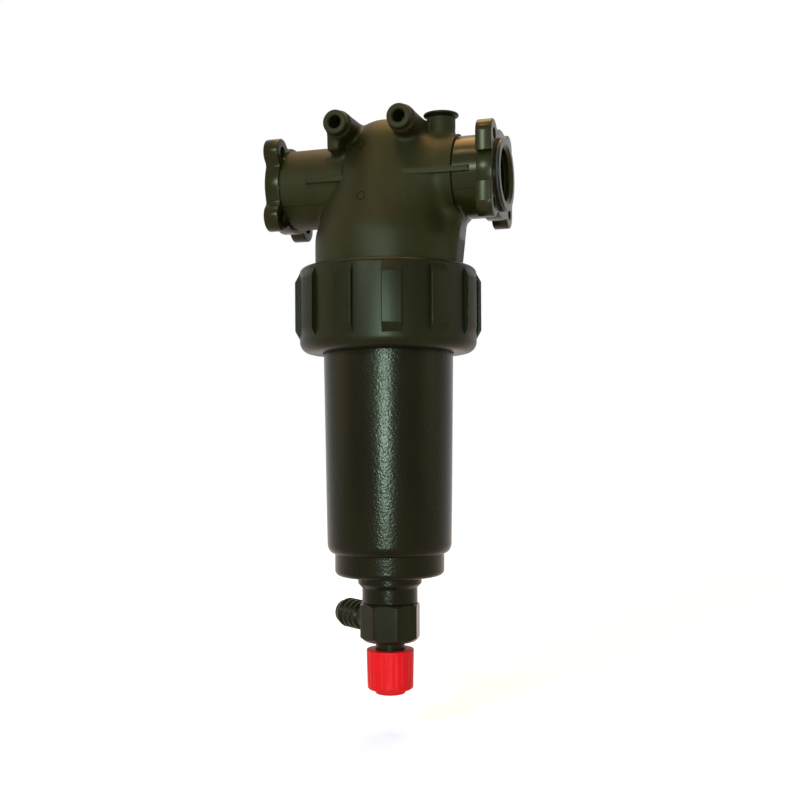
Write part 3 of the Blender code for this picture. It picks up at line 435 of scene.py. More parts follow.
def dome_r_at(z):
    tangent_r = crown_r * math.cos(dome_slope)
    tangent_z = crown_z + crown_r * math.sin(dome_slope)
    return min(dome_r, tangent_r + (tangent_z - z) * math.tan(dome_slope))


def dome():
    crown = arc(crown_r, math.pi / 2, dome_slope, 16, (0, crown_z))
    tangent_r, tangent_z = crown[-1]
    base_z = tangent_z - (dome_r - tangent_r) / math.tan(dome_slope)
    foot_z = skirt_z - 2 * mm
    corners = [(tangent_r, tangent_z), (dome_r, base_z, dome_foot_fillet), (dome_r, foot_z), (0, foot_z)]
    return turned("dome", crown + filleted(corners, 12)[1:])


def outlet_neck():
    """The neck that runs straight from the dome's sides to the outlet's collar, a hull of both."""
    inset = 0.3 * mm
    crown = arc(crown_r - inset, math.radians(80), dome_slope, 8, (0, crown_z))
    rings = [*crown, (dome_r_at(-neck_bottom) - inset, -neck_bottom)]
    bm = bmesh.new()
    for radius, z in rings:
        for x, y in ring_of(radius, medium):
            bm.verts.new((x, y, z))
    for y, z in ring_of(neck_r, medium):
        bm.verts.new((collar_start, y, z))
    hull = bmesh.ops.convex_hull(bm, input=bm.verts)
    spare = [v for v in hull["geom_interior"] if isinstance(v, bmesh.types.BMVert)]
    bmesh.ops.delete(bm, geom=spare, context="VERTS")
    return new_piece("outlet_neck", bm)


def outlet_duct():
    """The bulge below the outlet over the way up from the chamber."""
    foot_z = skirt_z + 1.4 * mm
    inner, outer_foot, outer_top = 21.5 * mm, 44.1 * mm, 48 * mm
    outline = [(inner, duct_top), (inner, foot_z), (outer_foot, foot_z), (outer_top, duct_top)]
    bm = prism(outline, -duct_half, duct_half)
    outer = [e for e in bm.edges if all(v.co.x > 43 * mm for v in e.verts)]
    corners = [e for e in outer if abs(e.verts[0].co.z - e.verts[1].co.z) < 1 * mm]
    bevel(bm, corners, 9 * mm, 10)
    return new_piece("duct", bm, towards_front)


def boss_shank(at):
    """The boss's rear, over the pipe and the dome."""
    return rod("shank", boss_root_r, -3 * mm, boss_step - 1 * mm, at)


def boss_web():
    """The web that carries the inlet's boss on the pipe, flush with the boss's outer side."""
    outer = -boss_half - boss_root_r
    back, front, bend = 3 * mm, -30 * mm, -25 * mm
    outline = [
        (back, boss_z),
        (front, boss_z),
        (front, web_foot_z + 2.5 * mm),
        (bend, web_foot_z),
        (back, web_foot_z),
    ]
    return extruded("web", outline, outer, outer + web_thickness, along_x)


def casting():
    """The forms that run into each other: dome, inlet pipe, neck, duct, bosses, web and gauge spigot."""
    body = dome()
    collar = [(neck_r, collar_start - 1 * mm), (collar_r + 0.5 * mm, collar_end + 4 * mm)]
    joined(
        body,
        outlet_neck(),
        rod("inlet_pipe", pipe_r, inlet_inner - 3 * mm, 0, along_x),
        lathed("collar", collar, along_x, medium),
        outlet_duct(),
        *[boss_shank(at) for at in boss_axes],
        boss_web(),
        rod("gauge", gauge_r, bore_r, gauge_top - gauge_well_depth, gauge_axis, small),
    )
    blended(body, 0.9 * mm, 14)
    relaxed(body, 50, (-32, -29.3, 5), (-8, -10, 15.2))
    relaxed(body, 50, (8, -31, 5), (31, -15, 21.5))
    return relaxed(body, 60, (22, -40, -34), (46, -8, -3))


def flange(low, high, flanked=False):
    """A flange with a lobe on each corner of its square bolt pattern."""
    reach = bolt_half * math.sqrt(2)
    hub_side = flange_hub_r + flange_fillet
    lobe_side = flange_lobe_r + flange_fillet
    turn = math.acos((hub_side**2 + reach**2 - lobe_side**2) / (2 * hub_side * reach))
    fillet_at = Vector((hub_side * math.cos(turn), -hub_side * math.sin(turn)))
    to_lobe = Vector((reach, 0)) - fillet_at
    meets = math.atan2(to_lobe.y, to_lobe.x)
    quarter = arc(flange_fillet, math.pi - turn, meets, 6, fillet_at)
    mirrored = [(x, -y) for x, y in quarter[::-1]]
    quarter += arc(flange_lobe_r, meets - math.pi, math.pi - meets, 18, (reach, 0))[1:]
    quarter += mirrored[1:]
    outline = []
    for corner in range(4):
        angle = math.pi / 4 + corner * math.pi / 2
        c, s = math.cos(angle), math.sin(angle)
        outline += [(x * c - y * s, x * s + y * c) for x, y in quarter]
        hub_from = angle + turn
        hub_to = angle + math.pi / 2 - turn
        outline += arc(flange_hub_r, hub_from, hub_to, 6)[1:-1]
    rim = 0.7 * mm
    plate = extruded("flange", outline, low, high, along_x, rim)
    lobe_edge = bolt_half + flange_lobe_r
    past_bolt = bolt_half + 0.2 * mm
    inner = [(flank_root, flank_end), (lobe_edge, flank_end)]
    corners = inner + [(lobe_edge, past_bolt), (flank_root, past_bolt)]
    for side in (-1, 1) if flanked else ():
        for end in (-1, 1):
            flank = [(side * y, end * z) for y, z in corners]
            joined(plate, extruded("flank", flank, low, high, along_x, rim))
    return plate


def side_band(bottom, low, high):
    """The pipe's raised band on both sides, flat above and below."""
    up = math.asin(band_top / band_r)
    down = math.asin(bottom / band_r)
    outline = arc(band_r, down, up, 16) + arc(band_r, math.pi - up, math.pi - down, 16)
    return extruded("band", outline, low, high, along_x)


def parting_rib():
    """The bar along both pipes at the mould's parting, its ends rounded."""
    side = [
        (rib_inlet_end, rib_reach, 1 * mm),
        (0, rib_reach),
        (20 * mm, 29.3 * mm),
        (38 * mm, 26.2 * mm),
        (rib_outlet_end, rib_reach, 1 * mm),
    ]
    front = [(x, -y, *fillet) for x, y, *fillet in side]
    return extruded("rib", filleted(front + side[::-1]), rib_low, rib_high, soften=0.5 * mm)


def boss_mouth_ring(at):
    corners = [
        (boss_r, boss_mouth, 0.9 * mm),
        (boss_r, boss_step, 0.3 * mm),
        (boss_root_r, boss_step - 1 * mm, 0.4 * mm),
        (boss_root_r, boss_step - 6 * mm),
    ]
    return lathed("mouth", corners, at, medium, 4)


def outlet_end():
    """Outlet pipe beyond the collar, with its flange and the short spigot."""
    pipe = rod("outlet_pipe", pipe_r, 30 * mm, outlet_inner + 3 * mm, along_x, fine)
    band = side_band(outlet_band_bottom, 31 * mm, outlet_inner + 2 * mm)
    spigot = [(spigot_r, outlet_inner), (spigot_r, spigot_end, 0.5 * mm)]
    return joined(
        pipe, band, flange(outlet_inner, outlet_face, flanked=True), lathed("spigot", spigot, along_x)
    )


def inlet_end():
    band = side_band(inlet_band_bottom, inlet_inner - 2 * mm, -20 * mm)
    return joined(flange(-inlet_face, inlet_inner), band)


def inner_walls():
    """The hollows of the head: chamber, central tube, inlet bore and the way up to the outlet."""
    ceiling_r = min(dome_r_at(chamber_top) - head_wall, skirt_bore_r)
    foot_z = skirt_foot_z - 4 * mm
    chamber = [
        (tube_r, tube_foot),
        (tube_r, chamber_top),
        (ceiling_r, chamber_top),
        (skirt_bore_r, chamber_top - ceiling_r / 2),
        (skirt_bore_r, foot_z),
    ]
    socket_top = -49.5 * mm
    socket_foot = tube_foot - 0.3 * mm
    tube = arc(crown_r - head_wall, math.pi / 2, math.pi / 8, 8, (0, crown_z)) + [
        (tube_bore_r, crown_z - crown_r / 3),
        (tube_bore_r, socket_top + 1.5 * mm),
        (cartridge_socket_r, socket_top),
        (cartridge_socket_r, socket_foot),
        (0, socket_foot),
    ]
    inlet_floor = socket_depth - inlet_face
    inlet = [
        (bore_r, 0),
        (bore_r, inlet_floor + bore_mouth_r - bore_r),
        (bore_mouth_r, inlet_floor),
        (socket_r, inlet_floor),
        (socket_r, -inlet_face - head_wall),
    ]
    return [
        lathed("chamber", chamber),
        turned("tube", tube, steps=medium),
        lathed("inlet_bore", inlet, along_x, medium),
        block("duct_way", (outlet_bore_end, -11 * mm, -42 * mm), (40.1 * mm, 11 * mm, 0)),
    ]


def outlet_thread_bore():
    """The outlet's bore with the grooves of its female pipe thread."""
    mouth = spigot_end
    groove_r = bore_r + pipe_thread_depth
    groove = mouth - 16.5 * mm
    path = [(bore_r, outlet_bore_end), (bore_r, groove - 1 * mm)]
    while groove + pipe_thread_pitch < mouth - 2.2 * mm:
        path += [
            (bore_r, groove),
            (groove_r, groove + 0.45 * pipe_thread_pitch),
            (groove_r, groove + 0.55 * pipe_thread_pitch),
            (bore_r, groove + pipe_thread_pitch),
        ]
        groove += pipe_thread_pitch
    path += [(bore_r, mouth - 1.8 * mm), (bore_mouth_r, mouth), (bore_mouth_r, mouth + 3 * mm)]
    return lathed("outlet_bore", path, along_x)


def holes():
    """The bolt holes, the bosses' blind holes, the gauge port and the groove of the outlet's seal."""
    cutters = []
    countersink = bolt_hole_r + 1.4 * mm
    for low, high in ((-inlet_face, inlet_inner), (outlet_inner, outlet_face)):
        path = [
            (countersink, low - 1 * mm),
            (bolt_hole_r, low + 0.4 * mm),
            (bolt_hole_r, high - 0.4 * mm),
            (countersink, high + 1 * mm),
        ]
        for y in (-bolt_half, bolt_half):
            for z in (-bolt_half, bolt_half):
                at = Matrix.Translation((0, y, z)) @ along_x
                cutters.append(lathed("bolt_hole", path, at, small))
    chamfer = 0.7 * mm
    path = [
        (0, 20.2 * mm),
        (boss_hole_r, 22 * mm),
        (boss_hole_r, boss_mouth - chamfer),
        (boss_hole_r + chamfer, boss_mouth),
        (boss_hole_r + chamfer, boss_mouth + 3 * mm),
        (0, boss_mouth + 3 * mm),
    ]
    cutters += [turned("boss_hole", path, at, small) for at in boss_axes]
    well_z = gauge_top - gauge_well_depth
    path = [(gauge_bore_r, 0), (gauge_bore_r, well_z)]
    path += [(gauge_well_r, well_z), (gauge_well_r, gauge_top + 3 * mm)]
    cutters.append(lathed("gauge_bore", path, gauge_axis, small))
    low, high = outlet_face + 0.35 * mm, outlet_face + 2.05 * mm
    inner, outer = spigot_r - spigot_groove_depth, spigot_r + 3 * mm
    groove = [(inner, low), (outer, low), (outer, high), (inner, high)]
    cutters.append(lathed_ring("seal_groove", groove, along_x))
    return gathered("holes", cutters)


def collar_cut(depth, width, steps):
    """A ring beyond the collar, from below the pipe's skin outwards, that leaves the duct whole."""
    inner, outer, end = pipe_r - depth, collar_r + 4 * mm, collar_end + width
    ring = [(inner, collar_end), (outer, collar_end), (outer, end), (inner, end)]
    duct_side = block("duct_side", (40 * mm, -40 * mm, -60 * mm), (60 * mm, 40 * mm, -19 * mm))
    return carved(lathed_ring("collar_cut", ring, along_x, steps), duct_side)


def ejector_marks():
    """Two round pin marks on the dome's front, fine circles set across its slope."""
    outer_r, proud = mark_r + mark_width, 4 * mm
    circle = [(mark_r, -mark_depth), (outer_r, -mark_depth), (outer_r, proud), (mark_r, proud)]
    marks = []
    for x, z in ((-8 * mm, 18.5 * mm), (-3.6 * mm, -13.9 * mm)):
        radius = dome_r_at(z)
        y = -math.sqrt(radius**2 - x**2)
        outwards = Vector((x, y, radius * math.tan(dome_slope)))
        at = Matrix.Translation((x, y, z)) @ outwards.to_track_quat("Z", "Y").to_matrix().to_4x4()
        marks.append(lathed_ring("mark", circle, at, small))
    return gathered("marks", marks)


def head_moulding():
    """The whole head: the collar is cut off square, and a narrow seam stays beside it."""
    body = casting()
    carved(body, collar_cut(0.6 * mm, 9 * mm, medium))
    skirt = [
        (dome_r - 0.2 * mm, skirt_z + 3 * mm),
        (dome_r, skirt_z + 1 * mm),
        (dome_r, -71.7 * mm, 0.3 * mm),
        (skirt_root_r, -73.3 * mm),
        (skirt_root_r, skirt_foot_z, 0.5 * mm),
    ]
    joined(body, lathed("skirt", skirt), outlet_end(), inlet_end())
    carved(body, collar_cut(1.3 * mm, 0.9 * mm, fine))
    joined(body, parting_rib())
    carved(body, ejector_marks())
    joined(body, *[boss_mouth_ring(at) for at in boss_axes])
    spigot = [(gauge_r, gauge_top - 6 * mm), (gauge_r, gauge_top, 0.4 * mm)]
    joined(body, lathed("gauge_rim", spigot, gauge_axis, medium))
    carved(body, *inner_walls(), outlet_thread_bore(), holes())
    thread_z = skirt_foot_z + thread_lead_in
    joined(body, thread("head_thread", skirt_root_r - thread_depth / 2, dome_r, thread_z, 3))
    body.name = "head_moulding"
    return smooth(body, 38)


def gauge_plug_moulding():
    under = gauge_top + 0.3 * mm
    corners = [
        (plug_r, under + 2.2 * mm, 0.9 * mm),
        (plug_r, under + 1.1 * mm, 0.4 * mm),
        (gauge_r, under, 0.3 * mm),
        (plug_shank_r, under),
        (plug_shank_r, under - 12 * mm, 0.6 * mm),
    ]
    return smooth(lathed("gauge_plug_moulding", corners, gauge_axis, medium))


# Ring nut


def nut_pad(index):
    """One grip pad, its ends sloped and its outer edges rounded."""
    face = nut_r + pad_proud
    buried = nut_r - 3 * mm
    slope = 5 * mm
    section = [
        (buried, pad_top),
        (nut_r, pad_top),
        (face, pad_top - slope),
        (face, pad_foot + slope),
        (nut_r, pad_foot),
        (buried, pad_foot),
    ]
    bm = bmesh.new()
    outline = bm.faces.new([bm.verts.new((r, 0, z)) for r, z in section])
    spin(bm, [outline], pad_angle, 4, use_duplicate=False)
    bmesh.ops.recalc_face_normals(bm, faces=bm.faces)
    proud = {v for v in bm.verts if math.hypot(v.co.x, v.co.y) > nut_r + pad_proud * 0.8}
    rims = [e for e in bm.edges if set(e.verts) <= proud and e.calc_face_angle(0) > 0.3]
    bevel(bm, rims, 0.6 * mm, 3)
    heading = pad_heading + index * 2 * math.pi / pad_count - pad_angle / 2
    return new_piece("pad", bm, Matrix.Rotation(heading, 4, "Z"))


def ring_nut_moulding():
    bead_top = nut_top + 0.8 * mm
    lip_bore_r = bowl_r + 0.4 * mm
    corners = [
        (nut_bore_r, bead_top, 0.3 * mm),
        (nut_bore_r + 1.9 * mm, bead_top, 0.8 * mm),
        (nut_bore_r + 2.7 * mm, nut_top, 0.3 * mm),
        (nut_r, nut_top, 10.5 * mm),
        (nut_r, nut_foot, 10 * mm),
        (lip_bore_r, nut_foot, 0.4 * mm),
        (lip_bore_r, nut_lip_z),
        (nut_bore_r, nut_lip_z),
    ]
    nut = lathed_ring("ring_nut_moulding", corners, fillet_steps=10)
    joined(nut, gathered("pads", [nut_pad(index) for index in range(pad_count)]))
    start_z = skirt_foot_z + thread_lead_in + thread_pitch / 2
    joined(nut, thread("nut_thread", nut_bore_r + thread_depth / 2, skirt_root_r + 0.4 * mm, start_z, 2))
    return smooth(nut, 13)


# Bowl


def bowl_moulding():
    spigot_top = bowl_flange_top + 12 * mm
    collar = skirt_bore_r - 0.3 * mm
    collar_bore = collar - 5.4 * mm
    groove_r = collar - 2.3 * mm
    floor_z = bowl_foot_z + 4 * mm
    groove_z = bowl_flange_top + 6 * mm
    inwards, downwards = 3.9 * mm, 6 * mm
    shoulder = []
    for step in range(11):
        turn = math.pi / 2 * step / 10
        r = bowl_base_r - inwards * (1 - math.cos(turn))
        shoulder.append((r, bowl_step_z + downwards * (1 - math.sin(turn))))
    corners = [
        (collar_bore, spigot_top),
        (collar, spigot_top, 1 * mm),
        (collar, groove_z + 1.6 * mm),
        (groove_r, groove_z + 1.6 * mm),
        (groove_r, groove_z - 1.6 * mm),
        (collar, groove_z - 1.6 * mm),
        (collar, bowl_flange_top),
        (bowl_flange_r, bowl_flange_top, 0.4 * mm),
        (bowl_flange_r, bowl_flange_foot, 0.4 * mm),
        (bowl_r, bowl_flange_foot),
        *shoulder,
        (bowl_foot_r, bowl_step_z, 0.35 * mm),
        (bowl_foot_r, bowl_foot_z, 3.2 * mm),
        (foot_disc_r, bowl_foot_z, 0.5 * mm),
        (foot_disc_r, bowl_foot_z - 4.8 * mm, 0.4 * mm),
        (drain_boss_r, bowl_foot_z - 7.4 * mm, 0.5 * mm),
        (drain_boss_r, drain_boss_z, 0.4 * mm),
        (valve_seal_r, drain_boss_z),
        (valve_seal_r, drain_boss_z + 2 * mm),
        (valve_hole_r, drain_boss_z + 2 * mm),
        (valve_hole_r, floor_z),
        (cup_bore_r, floor_z),
        (cup_bore_r, floor_z + cup_height),
        (cup_r, floor_z + cup_height),
        (cup_r, floor_z),
        (bowl_foot_bore_r, floor_z, 1 * mm),
        (bowl_foot_bore_r, bowl_step_z),
        (bowl_base_r - bowl_wall, bowl_step_z + 3.6 * mm),
        (bowl_r - bowl_wall, bowl_flange_foot),
        (collar_bore, bowl_flange_top),
    ]
    return smooth(lathed_ring("bowl_moulding", corners, fillet_steps=8), 30)


# Drain valve and knob


def valve_moulding():
    corner_r = octagon_apothem / math.cos(math.pi / 8)
    start = valve_heading + math.pi / 8
    bm = prism(arc(corner_r, start, start + 2 * math.pi, 8)[:-1], octagon_foot, octagon_top)
    corners = [e for e in bm.edges if abs(e.verts[0].co.z - e.verts[1].co.z) > 1 * mm]
    bevel(bm, corners, 0.5 * mm, 3)
    body = new_piece("valve_moulding", bm)
    flat_r = octagon_apothem - 0.4 * mm
    ends = [
        (flat_r, octagon_top, 0.8 * mm),
        (corner_r + 0.3 * mm, octagon_top - 1.9 * mm),
        (corner_r + 0.3 * mm, octagon_foot + 3 * mm),
        (flat_r - 1.2 * mm, octagon_foot, 1.6 * mm),
    ]
    booled(body, lathed("turned_down", ends), "INTERSECT")
    shank_top = octagon_top + 12 * mm
    joined(body, rod("shank", valve_shank_r, octagon_top - 4 * mm, shank_top, steps=small))
    gland = [(gland_r, octagon_foot + 4 * mm), (gland_r, gland_foot, 0.8 * mm)]
    joined(body, lathed("gland", gland, steps=medium), barb())
    passage = [
        (valve_way_r, shank_top + 0.3 * mm),
        (valve_way_r, octagon_top - 2 * mm),
        (valve_throat_r, octagon_top - 3.2 * mm),
        (valve_throat_r, octagon_top - 4 * mm),
        (valve_room_r, octagon_top - 5.8 * mm),
        (valve_room_r, octagon_top - 17 * mm),
        (gland_bore_r, octagon_top - 18.1 * mm),
        (gland_bore_r, gland_foot - 0.3 * mm),
    ]
    barb_bore = rod("barb_bore", barb_bore_r, 0, barb_reach + 0.3 * mm, barb_axis, small)
    carved(body, lathed("passage", passage, steps=small), barb_bore)
    return smooth(body, 28)


def barb():
    """The hose barb along its own axis: four teeth that slope to the tip."""
    pitch = 5.3 * mm
    first = barb_reach - 2.2 * mm - 4 * pitch
    corners = [(barb_root_r, 0), (barb_root_r, first)]
    for tooth in range(4):
        start = first + tooth * pitch
        corners += [
            (barb_crest_r, start + 0.25 * pitch, 0.3 * mm),
            (barb_crest_r, start + 0.45 * pitch, 0.3 * mm),
            (barb_root_r, start + pitch, 0.2 * mm),
        ]
    corners.append((barb_root_r, barb_reach, 0.7 * mm))
    return lathed("barb", corners, barb_axis, medium, 3)


def knob_moulding():
    """Knob with shallow flutes that fade out below its rim and above its foot."""
    flutes = 24
    depth = 0.35 * mm
    taper = 0.5 * mm
    fade = 1.4 * mm
    flutes_top = knob_top - 1.2 * mm
    flutes_foot = knob_foot + 2.9 * mm
    height = knob_top - knob_foot
    side = []
    for step in range(13):
        z = flutes_top - (height - 4.4 * mm) * step / 12
        side.append((knob_r - taper * (knob_top - z) / height, z))
    foot_r = knob_r - taper
    rim = filleted([(0, knob_top), (knob_r, knob_top, 1 * mm), side[0]])
    foot = filleted([side[-1], (foot_r, knob_foot, 2.6 * mm), (0, knob_foot)], 8)
    knob = turned("knob_moulding", rim[:-1] + side + foot[1:], steps=flutes * 10)
    for vert in knob.data.vertices:
        radius = math.hypot(vert.co.x, vert.co.y)
        if radius < foot_r - 0.2 * mm:
            continue
        below = (flutes_top - vert.co.z) / fade
        above = (vert.co.z - flutes_foot) / fade
        share = max(0.0, min(1.0, below, above))
        heading = math.atan2(vert.co.y, vert.co.x)
        hollow = depth * share * (0.5 + 0.5 * math.cos(flutes * heading))
        vert.co.x *= (radius - hollow) / radius
        vert.co.y *= (radius - hollow) / radius
    inside = [
        (gland_r + 0.4 * mm, knob_top + 0.3 * mm),
        (gland_r + 0.4 * mm, knob_web_top),
        (knob_hole_r, knob_web_top),
        (knob_hole_r, knob_web_foot),
        (knob_well_r, knob_web_foot),
        (knob_well_r, knob_foot - 0.3 * mm),
    ]
    carved(knob, lathed("knob_inside", inside, steps=medium))
    return smooth(knob, 40)


def knob_cap_moulding():
    top = knob_foot - 0.3 * mm
    corners = [
        (cap_shank_r, top + 1.9 * mm, 0.4 * mm),
        (cap_shank_r, top),
        (cap_r, top, 0.2 * mm),
        (cap_r, top - 2.4 * mm, 1.3 * mm),
    ]
    return smooth(lathed("knob_cap_moulding", corners, steps=medium))


# Finishes: effects shared by several materials


def wire(tree, value, socket):
    """Links an input to another node's output, or sets it."""
    if isinstance(value, bpy.types.NodeSocket):
        tree.links.new(value, socket)
    else:
        socket.default_value = value


def effect_group(name, inputs, outputs):
    """An empty shader group with named inputs, given as (name, kind, value), and outputs."""
    group = bpy.data.node_groups.new(name, "ShaderNodeTree")
    for label, kind, value in inputs:
        socket = group.interface.new_socket(name=label, in_out="INPUT", socket_type=kind)
        if value is not None:
            socket.default_value = value
    for label, kind in outputs:
        group.interface.new_socket(name=label, in_out="OUTPUT", socket_type=kind)
    return group, group.nodes.new("NodeGroupInput"), group.nodes.new("NodeGroupOutput")


def noise(tree, vector, scale, detail=2.0, roughness=0.5):
    node = tree.nodes.new("ShaderNodeTexNoise")
    wire(tree, detail, node.inputs["Detail"])
    wire(tree, roughness, node.inputs["Roughness"])
    wire(tree, scale, node.inputs["Scale"])
    wire(tree, vector, node.inputs["Vector"])
    return node.outputs["Fac"]


def reranged(tree, value, low, high, to_low, to_high):
    node = tree.nodes.new("ShaderNodeMapRange")
    labels = ("Value", "From Min", "From Max", "To Min", "To Max")
    for label, number in zip(labels, (value, low, high, to_low, to_high)):
        wire(tree, number, node.inputs[label])
    return node.outputs["Result"]


def arithmetic(tree, operation, *values):
    node = tree.nodes.new("ShaderNodeMath")
    node.operation = operation
    for value, socket in zip(values, node.inputs):
        wire(tree, value, socket)
    return node.outputs["Value"]


def product(tree, first, second):
    return arithmetic(tree, "MULTIPLY", first, second)


def total(tree, first, second):
    return arithmetic(tree, "ADD", first, second)


def axes_of(tree, vector):
    node = tree.nodes.new("ShaderNodeSeparateXYZ")
    wire(tree, vector, node.inputs["Vector"])
    return node.outputs


def tinted(tree, share, first, second):
    """A colour between two, by a share that changes over the surface."""
    node = tree.nodes.new("ShaderNodeMix")
    node.data_type = "RGBA"
    wire(tree, share, node.inputs["Factor"])
    for label, colour in (("A", first), ("B", second)):
        socket = [s for s in node.inputs if s.name == label and s.type == "RGBA"][0]
        wire(tree, (*colour, 1) if isinstance(colour, tuple) else colour, socket)
    return [s for s in node.outputs if s.type == "RGBA"][0]


def moulded_grain_group():
    """The skin of a moulding: eroded-steel grain, and slow changes of gloss left by the melt's flow."""
    group, entry, exit_node = effect_group(
        "moulded_grain",
        [
            ("Vector", "NodeSocketVector", None),
            ("Grain Scale", "NodeSocketFloat", 1500.0),
            ("Flow Scale", "NodeSocketFloat", 40.0),
        ],
        [("Height", "NodeSocketFloat"), ("Mottle", "NodeSocketFloat"), ("Specks", "NodeSocketFloat")],
    )
    vector = entry.outputs["Vector"]
    grain = noise(group, vector, entry.outputs["Grain Scale"], 3.0, 0.55)
    pebble = group.nodes.new("ShaderNodeTexVoronoi")
    pebble.feature = "SMOOTH_F1"
    pebble.inputs["Smoothness"].default_value = 0.6
    wire(group, vector, pebble.inputs["Vector"])
    wire(group, entry.outputs["Grain Scale"], pebble.inputs["Scale"])
    rounded_grain = arithmetic(group, "SUBTRACT", 1.0, pebble.outputs["Distance"])
    height = total(group, product(group, rounded_grain, 0.55), grain)
    wire(group, height, exit_node.inputs["Height"])
    stretched = group.nodes.new("ShaderNodeMapping")
    stretched.inputs["Scale"].default_value = (1.0, 1.0, 0.35)
    wire(group, vector, stretched.inputs["Vector"])
    flow = noise(group, stretched.outputs["Vector"], entry.outputs["Flow Scale"], 4.0, 0.6)
    wire(group, reranged(group, flow, 0.32, 0.68, 0.0, 1.0), exit_node.inputs["Mottle"])
    fine_scale = product(group, entry.outputs["Grain Scale"], 1.7)
    specks = noise(group, vector, fine_scale, 1.0, 0.5)
    wire(group, reranged(group, specks, 0.66, 0.76, 0.0, 1.0), exit_node.inputs["Specks"])
    return group


def scuffs_group():
    """Hair-fine scratches and rubbed spots from handling, as a mask."""
    group, entry, exit_node = effect_group(
        "handling_scuffs",
        [("Vector", "NodeSocketVector", None), ("Amount", "NodeSocketFloat", 0.5)],
        [("Scuffs", "NodeSocketFloat")],
    )
    vector = entry.outputs["Vector"]
    marks = []
    for turn, scale in ((0.5, 210.0), (1.9, 170.0)):
        lean = group.nodes.new("ShaderNodeMapping")
        lean.inputs["Rotation"].default_value = (turn, 0.4, turn)
        lean.inputs["Scale"].default_value = (1.0, 0.04, 1.0)
        wire(group, vector, lean.inputs["Vector"])
        cells = group.nodes.new("ShaderNodeTexVoronoi")
        cells.feature = "DISTANCE_TO_EDGE"
        cells.inputs["Scale"].default_value = scale
        wire(group, lean.outputs["Vector"], cells.inputs["Vector"])
        marks.append(reranged(group, cells.outputs["Distance"], 0.0, 0.012, 1.0, 0.0))
    lines = arithmetic(group, "MAXIMUM", marks[0], marks[1])
    where = reranged(group, noise(group, vector, 34.0, 3.0), 0.5, 0.68, 0.0, 1.0)
    shown = product(group, lines, where)
    wire(group, product(group, shown, entry.outputs["Amount"]), exit_node.inputs["Scuffs"])
    return group


def settled_dust_group():
    """Pale dust on what faces up, broken up by noise, as a mask."""
    group, entry, exit_node = effect_group(
        "settled_dust",
        [("Vector", "NodeSocketVector", None), ("Amount", "NodeSocketFloat", 0.2)],
        [("Dust", "NodeSocketFloat")],
    )
    surface = group.nodes.new("ShaderNodeNewGeometry")
    height = axes_of(group, surface.outputs["Normal"])["Z"]
    facing_up = reranged(group, height, 0.55, 1.0, 0.0, 1.0)
    clouds = noise(group, entry.outputs["Vector"], 260.0, 5.0, 0.65)
    dust = product(group, facing_up, reranged(group, clouds, 0.35, 0.7, 0.0, 1.0))
    wire(group, product(group, dust, entry.outputs["Amount"]), exit_node.inputs["Dust"])
    return group


moulded_grain = moulded_grain_group()
handling_scuffs = scuffs_group()
settled_dust = settled_dust_group()


def placed(tree, group, vector, **values):
    node = tree.nodes.new("ShaderNodeGroup")
    node.node_tree = group
    wire(tree, vector, node.inputs["Vector"])
    for label, value in values.items():
        node.inputs[label.replace("_", " ")].default_value = value
    return node


def material_base(name):
    material = bpy.data.materials.new(name)
    material.use_nodes = True
    tree = material.node_tree
    shader = tree.nodes["Principled BSDF"]
    coordinates = tree.nodes.new("ShaderNodeTexCoord")
    return material, tree, shader, coordinates.outputs["Object"]


def raised(tree, shader, height, depth):
    bump = tree.nodes.new("ShaderNodeBump")
    bump.inputs["Distance"].default_value = depth
    bump.inputs["Strength"].default_value = 1.0
    wire(tree, height, bump.inputs["Height"])
    wire(tree, bump.outputs["Normal"], shader.inputs["Normal"])


def beyond(tree, vector, axis, low, high):
    """A mask of what lies past two places on an axis, such as a pipe's polished ends."""
    along = axes_of(tree, vector)[axis]
    masks = [arithmetic(tree, "GREATER_THAN", along, high)]
    if low is not None:
        masks.insert(0, arithmetic(tree, "LESS_THAN", along, low))
    return masks[0] if len(masks) == 1 else arithmetic(tree, "MAXIMUM", *masks)


def moulded_plastic(
    name,
    dark,
    light,
    rough,
    grain_scale,
    grain_depth,
    specular=0.11,
    flow_scale=38.0,
    dust=0.12,
    polished=None,
    polish=0.2,
):
    """Plastic straight from the mould, with its grain, its flow marks, scuffs and a little dust."""
    material, tree, shader, vector = material_base(name)
    grain = placed(tree, moulded_grain, vector, Grain_Scale=grain_scale, Flow_Scale=flow_scale)
    mottle = grain.outputs["Mottle"]
    scuffs = placed(tree, handling_scuffs, vector, Amount=0.35).outputs["Scuffs"]
    settled = placed(tree, settled_dust, vector, Amount=dust).outputs["Dust"]
    specks = product(tree, grain.outputs["Specks"], 0.3)
    skin = tinted(tree, mottle, dark, light)
    speckled = tinted(tree, specks, skin, tuple(3 * c for c in light))
    scuffed = tinted(tree, scuffs, speckled, tuple(2.2 * c + 0.01 for c in light))
    dusty = tinted(tree, settled, scuffed, (0.16, 0.145, 0.12))
    wire(tree, dusty, shader.inputs["Base Color"])
    gloss = reranged(tree, mottle, 0.0, 1.0, *rough)
    worn = total(tree, gloss, product(tree, scuffs, 0.15))
    clouded = total(tree, worn, product(tree, settled, 0.3))
    height = grain.outputs["Height"]
    if polished:
        mask = beyond(tree, vector, *polished)
        matt = arithmetic(tree, "SUBTRACT", 1.0, mask)
        clouded = total(tree, product(tree, clouded, matt), product(tree, mask, polish))
        height = product(tree, height, matt)
    wire(tree, clouded, shader.inputs["Roughness"])
    shader.inputs["Specular IOR Level"].default_value = specular
    shader.inputs["Specular Tint"].default_value = (1.0, 0.91, 0.55, 1)
    raised(tree, shader, height, grain_depth)
    return material


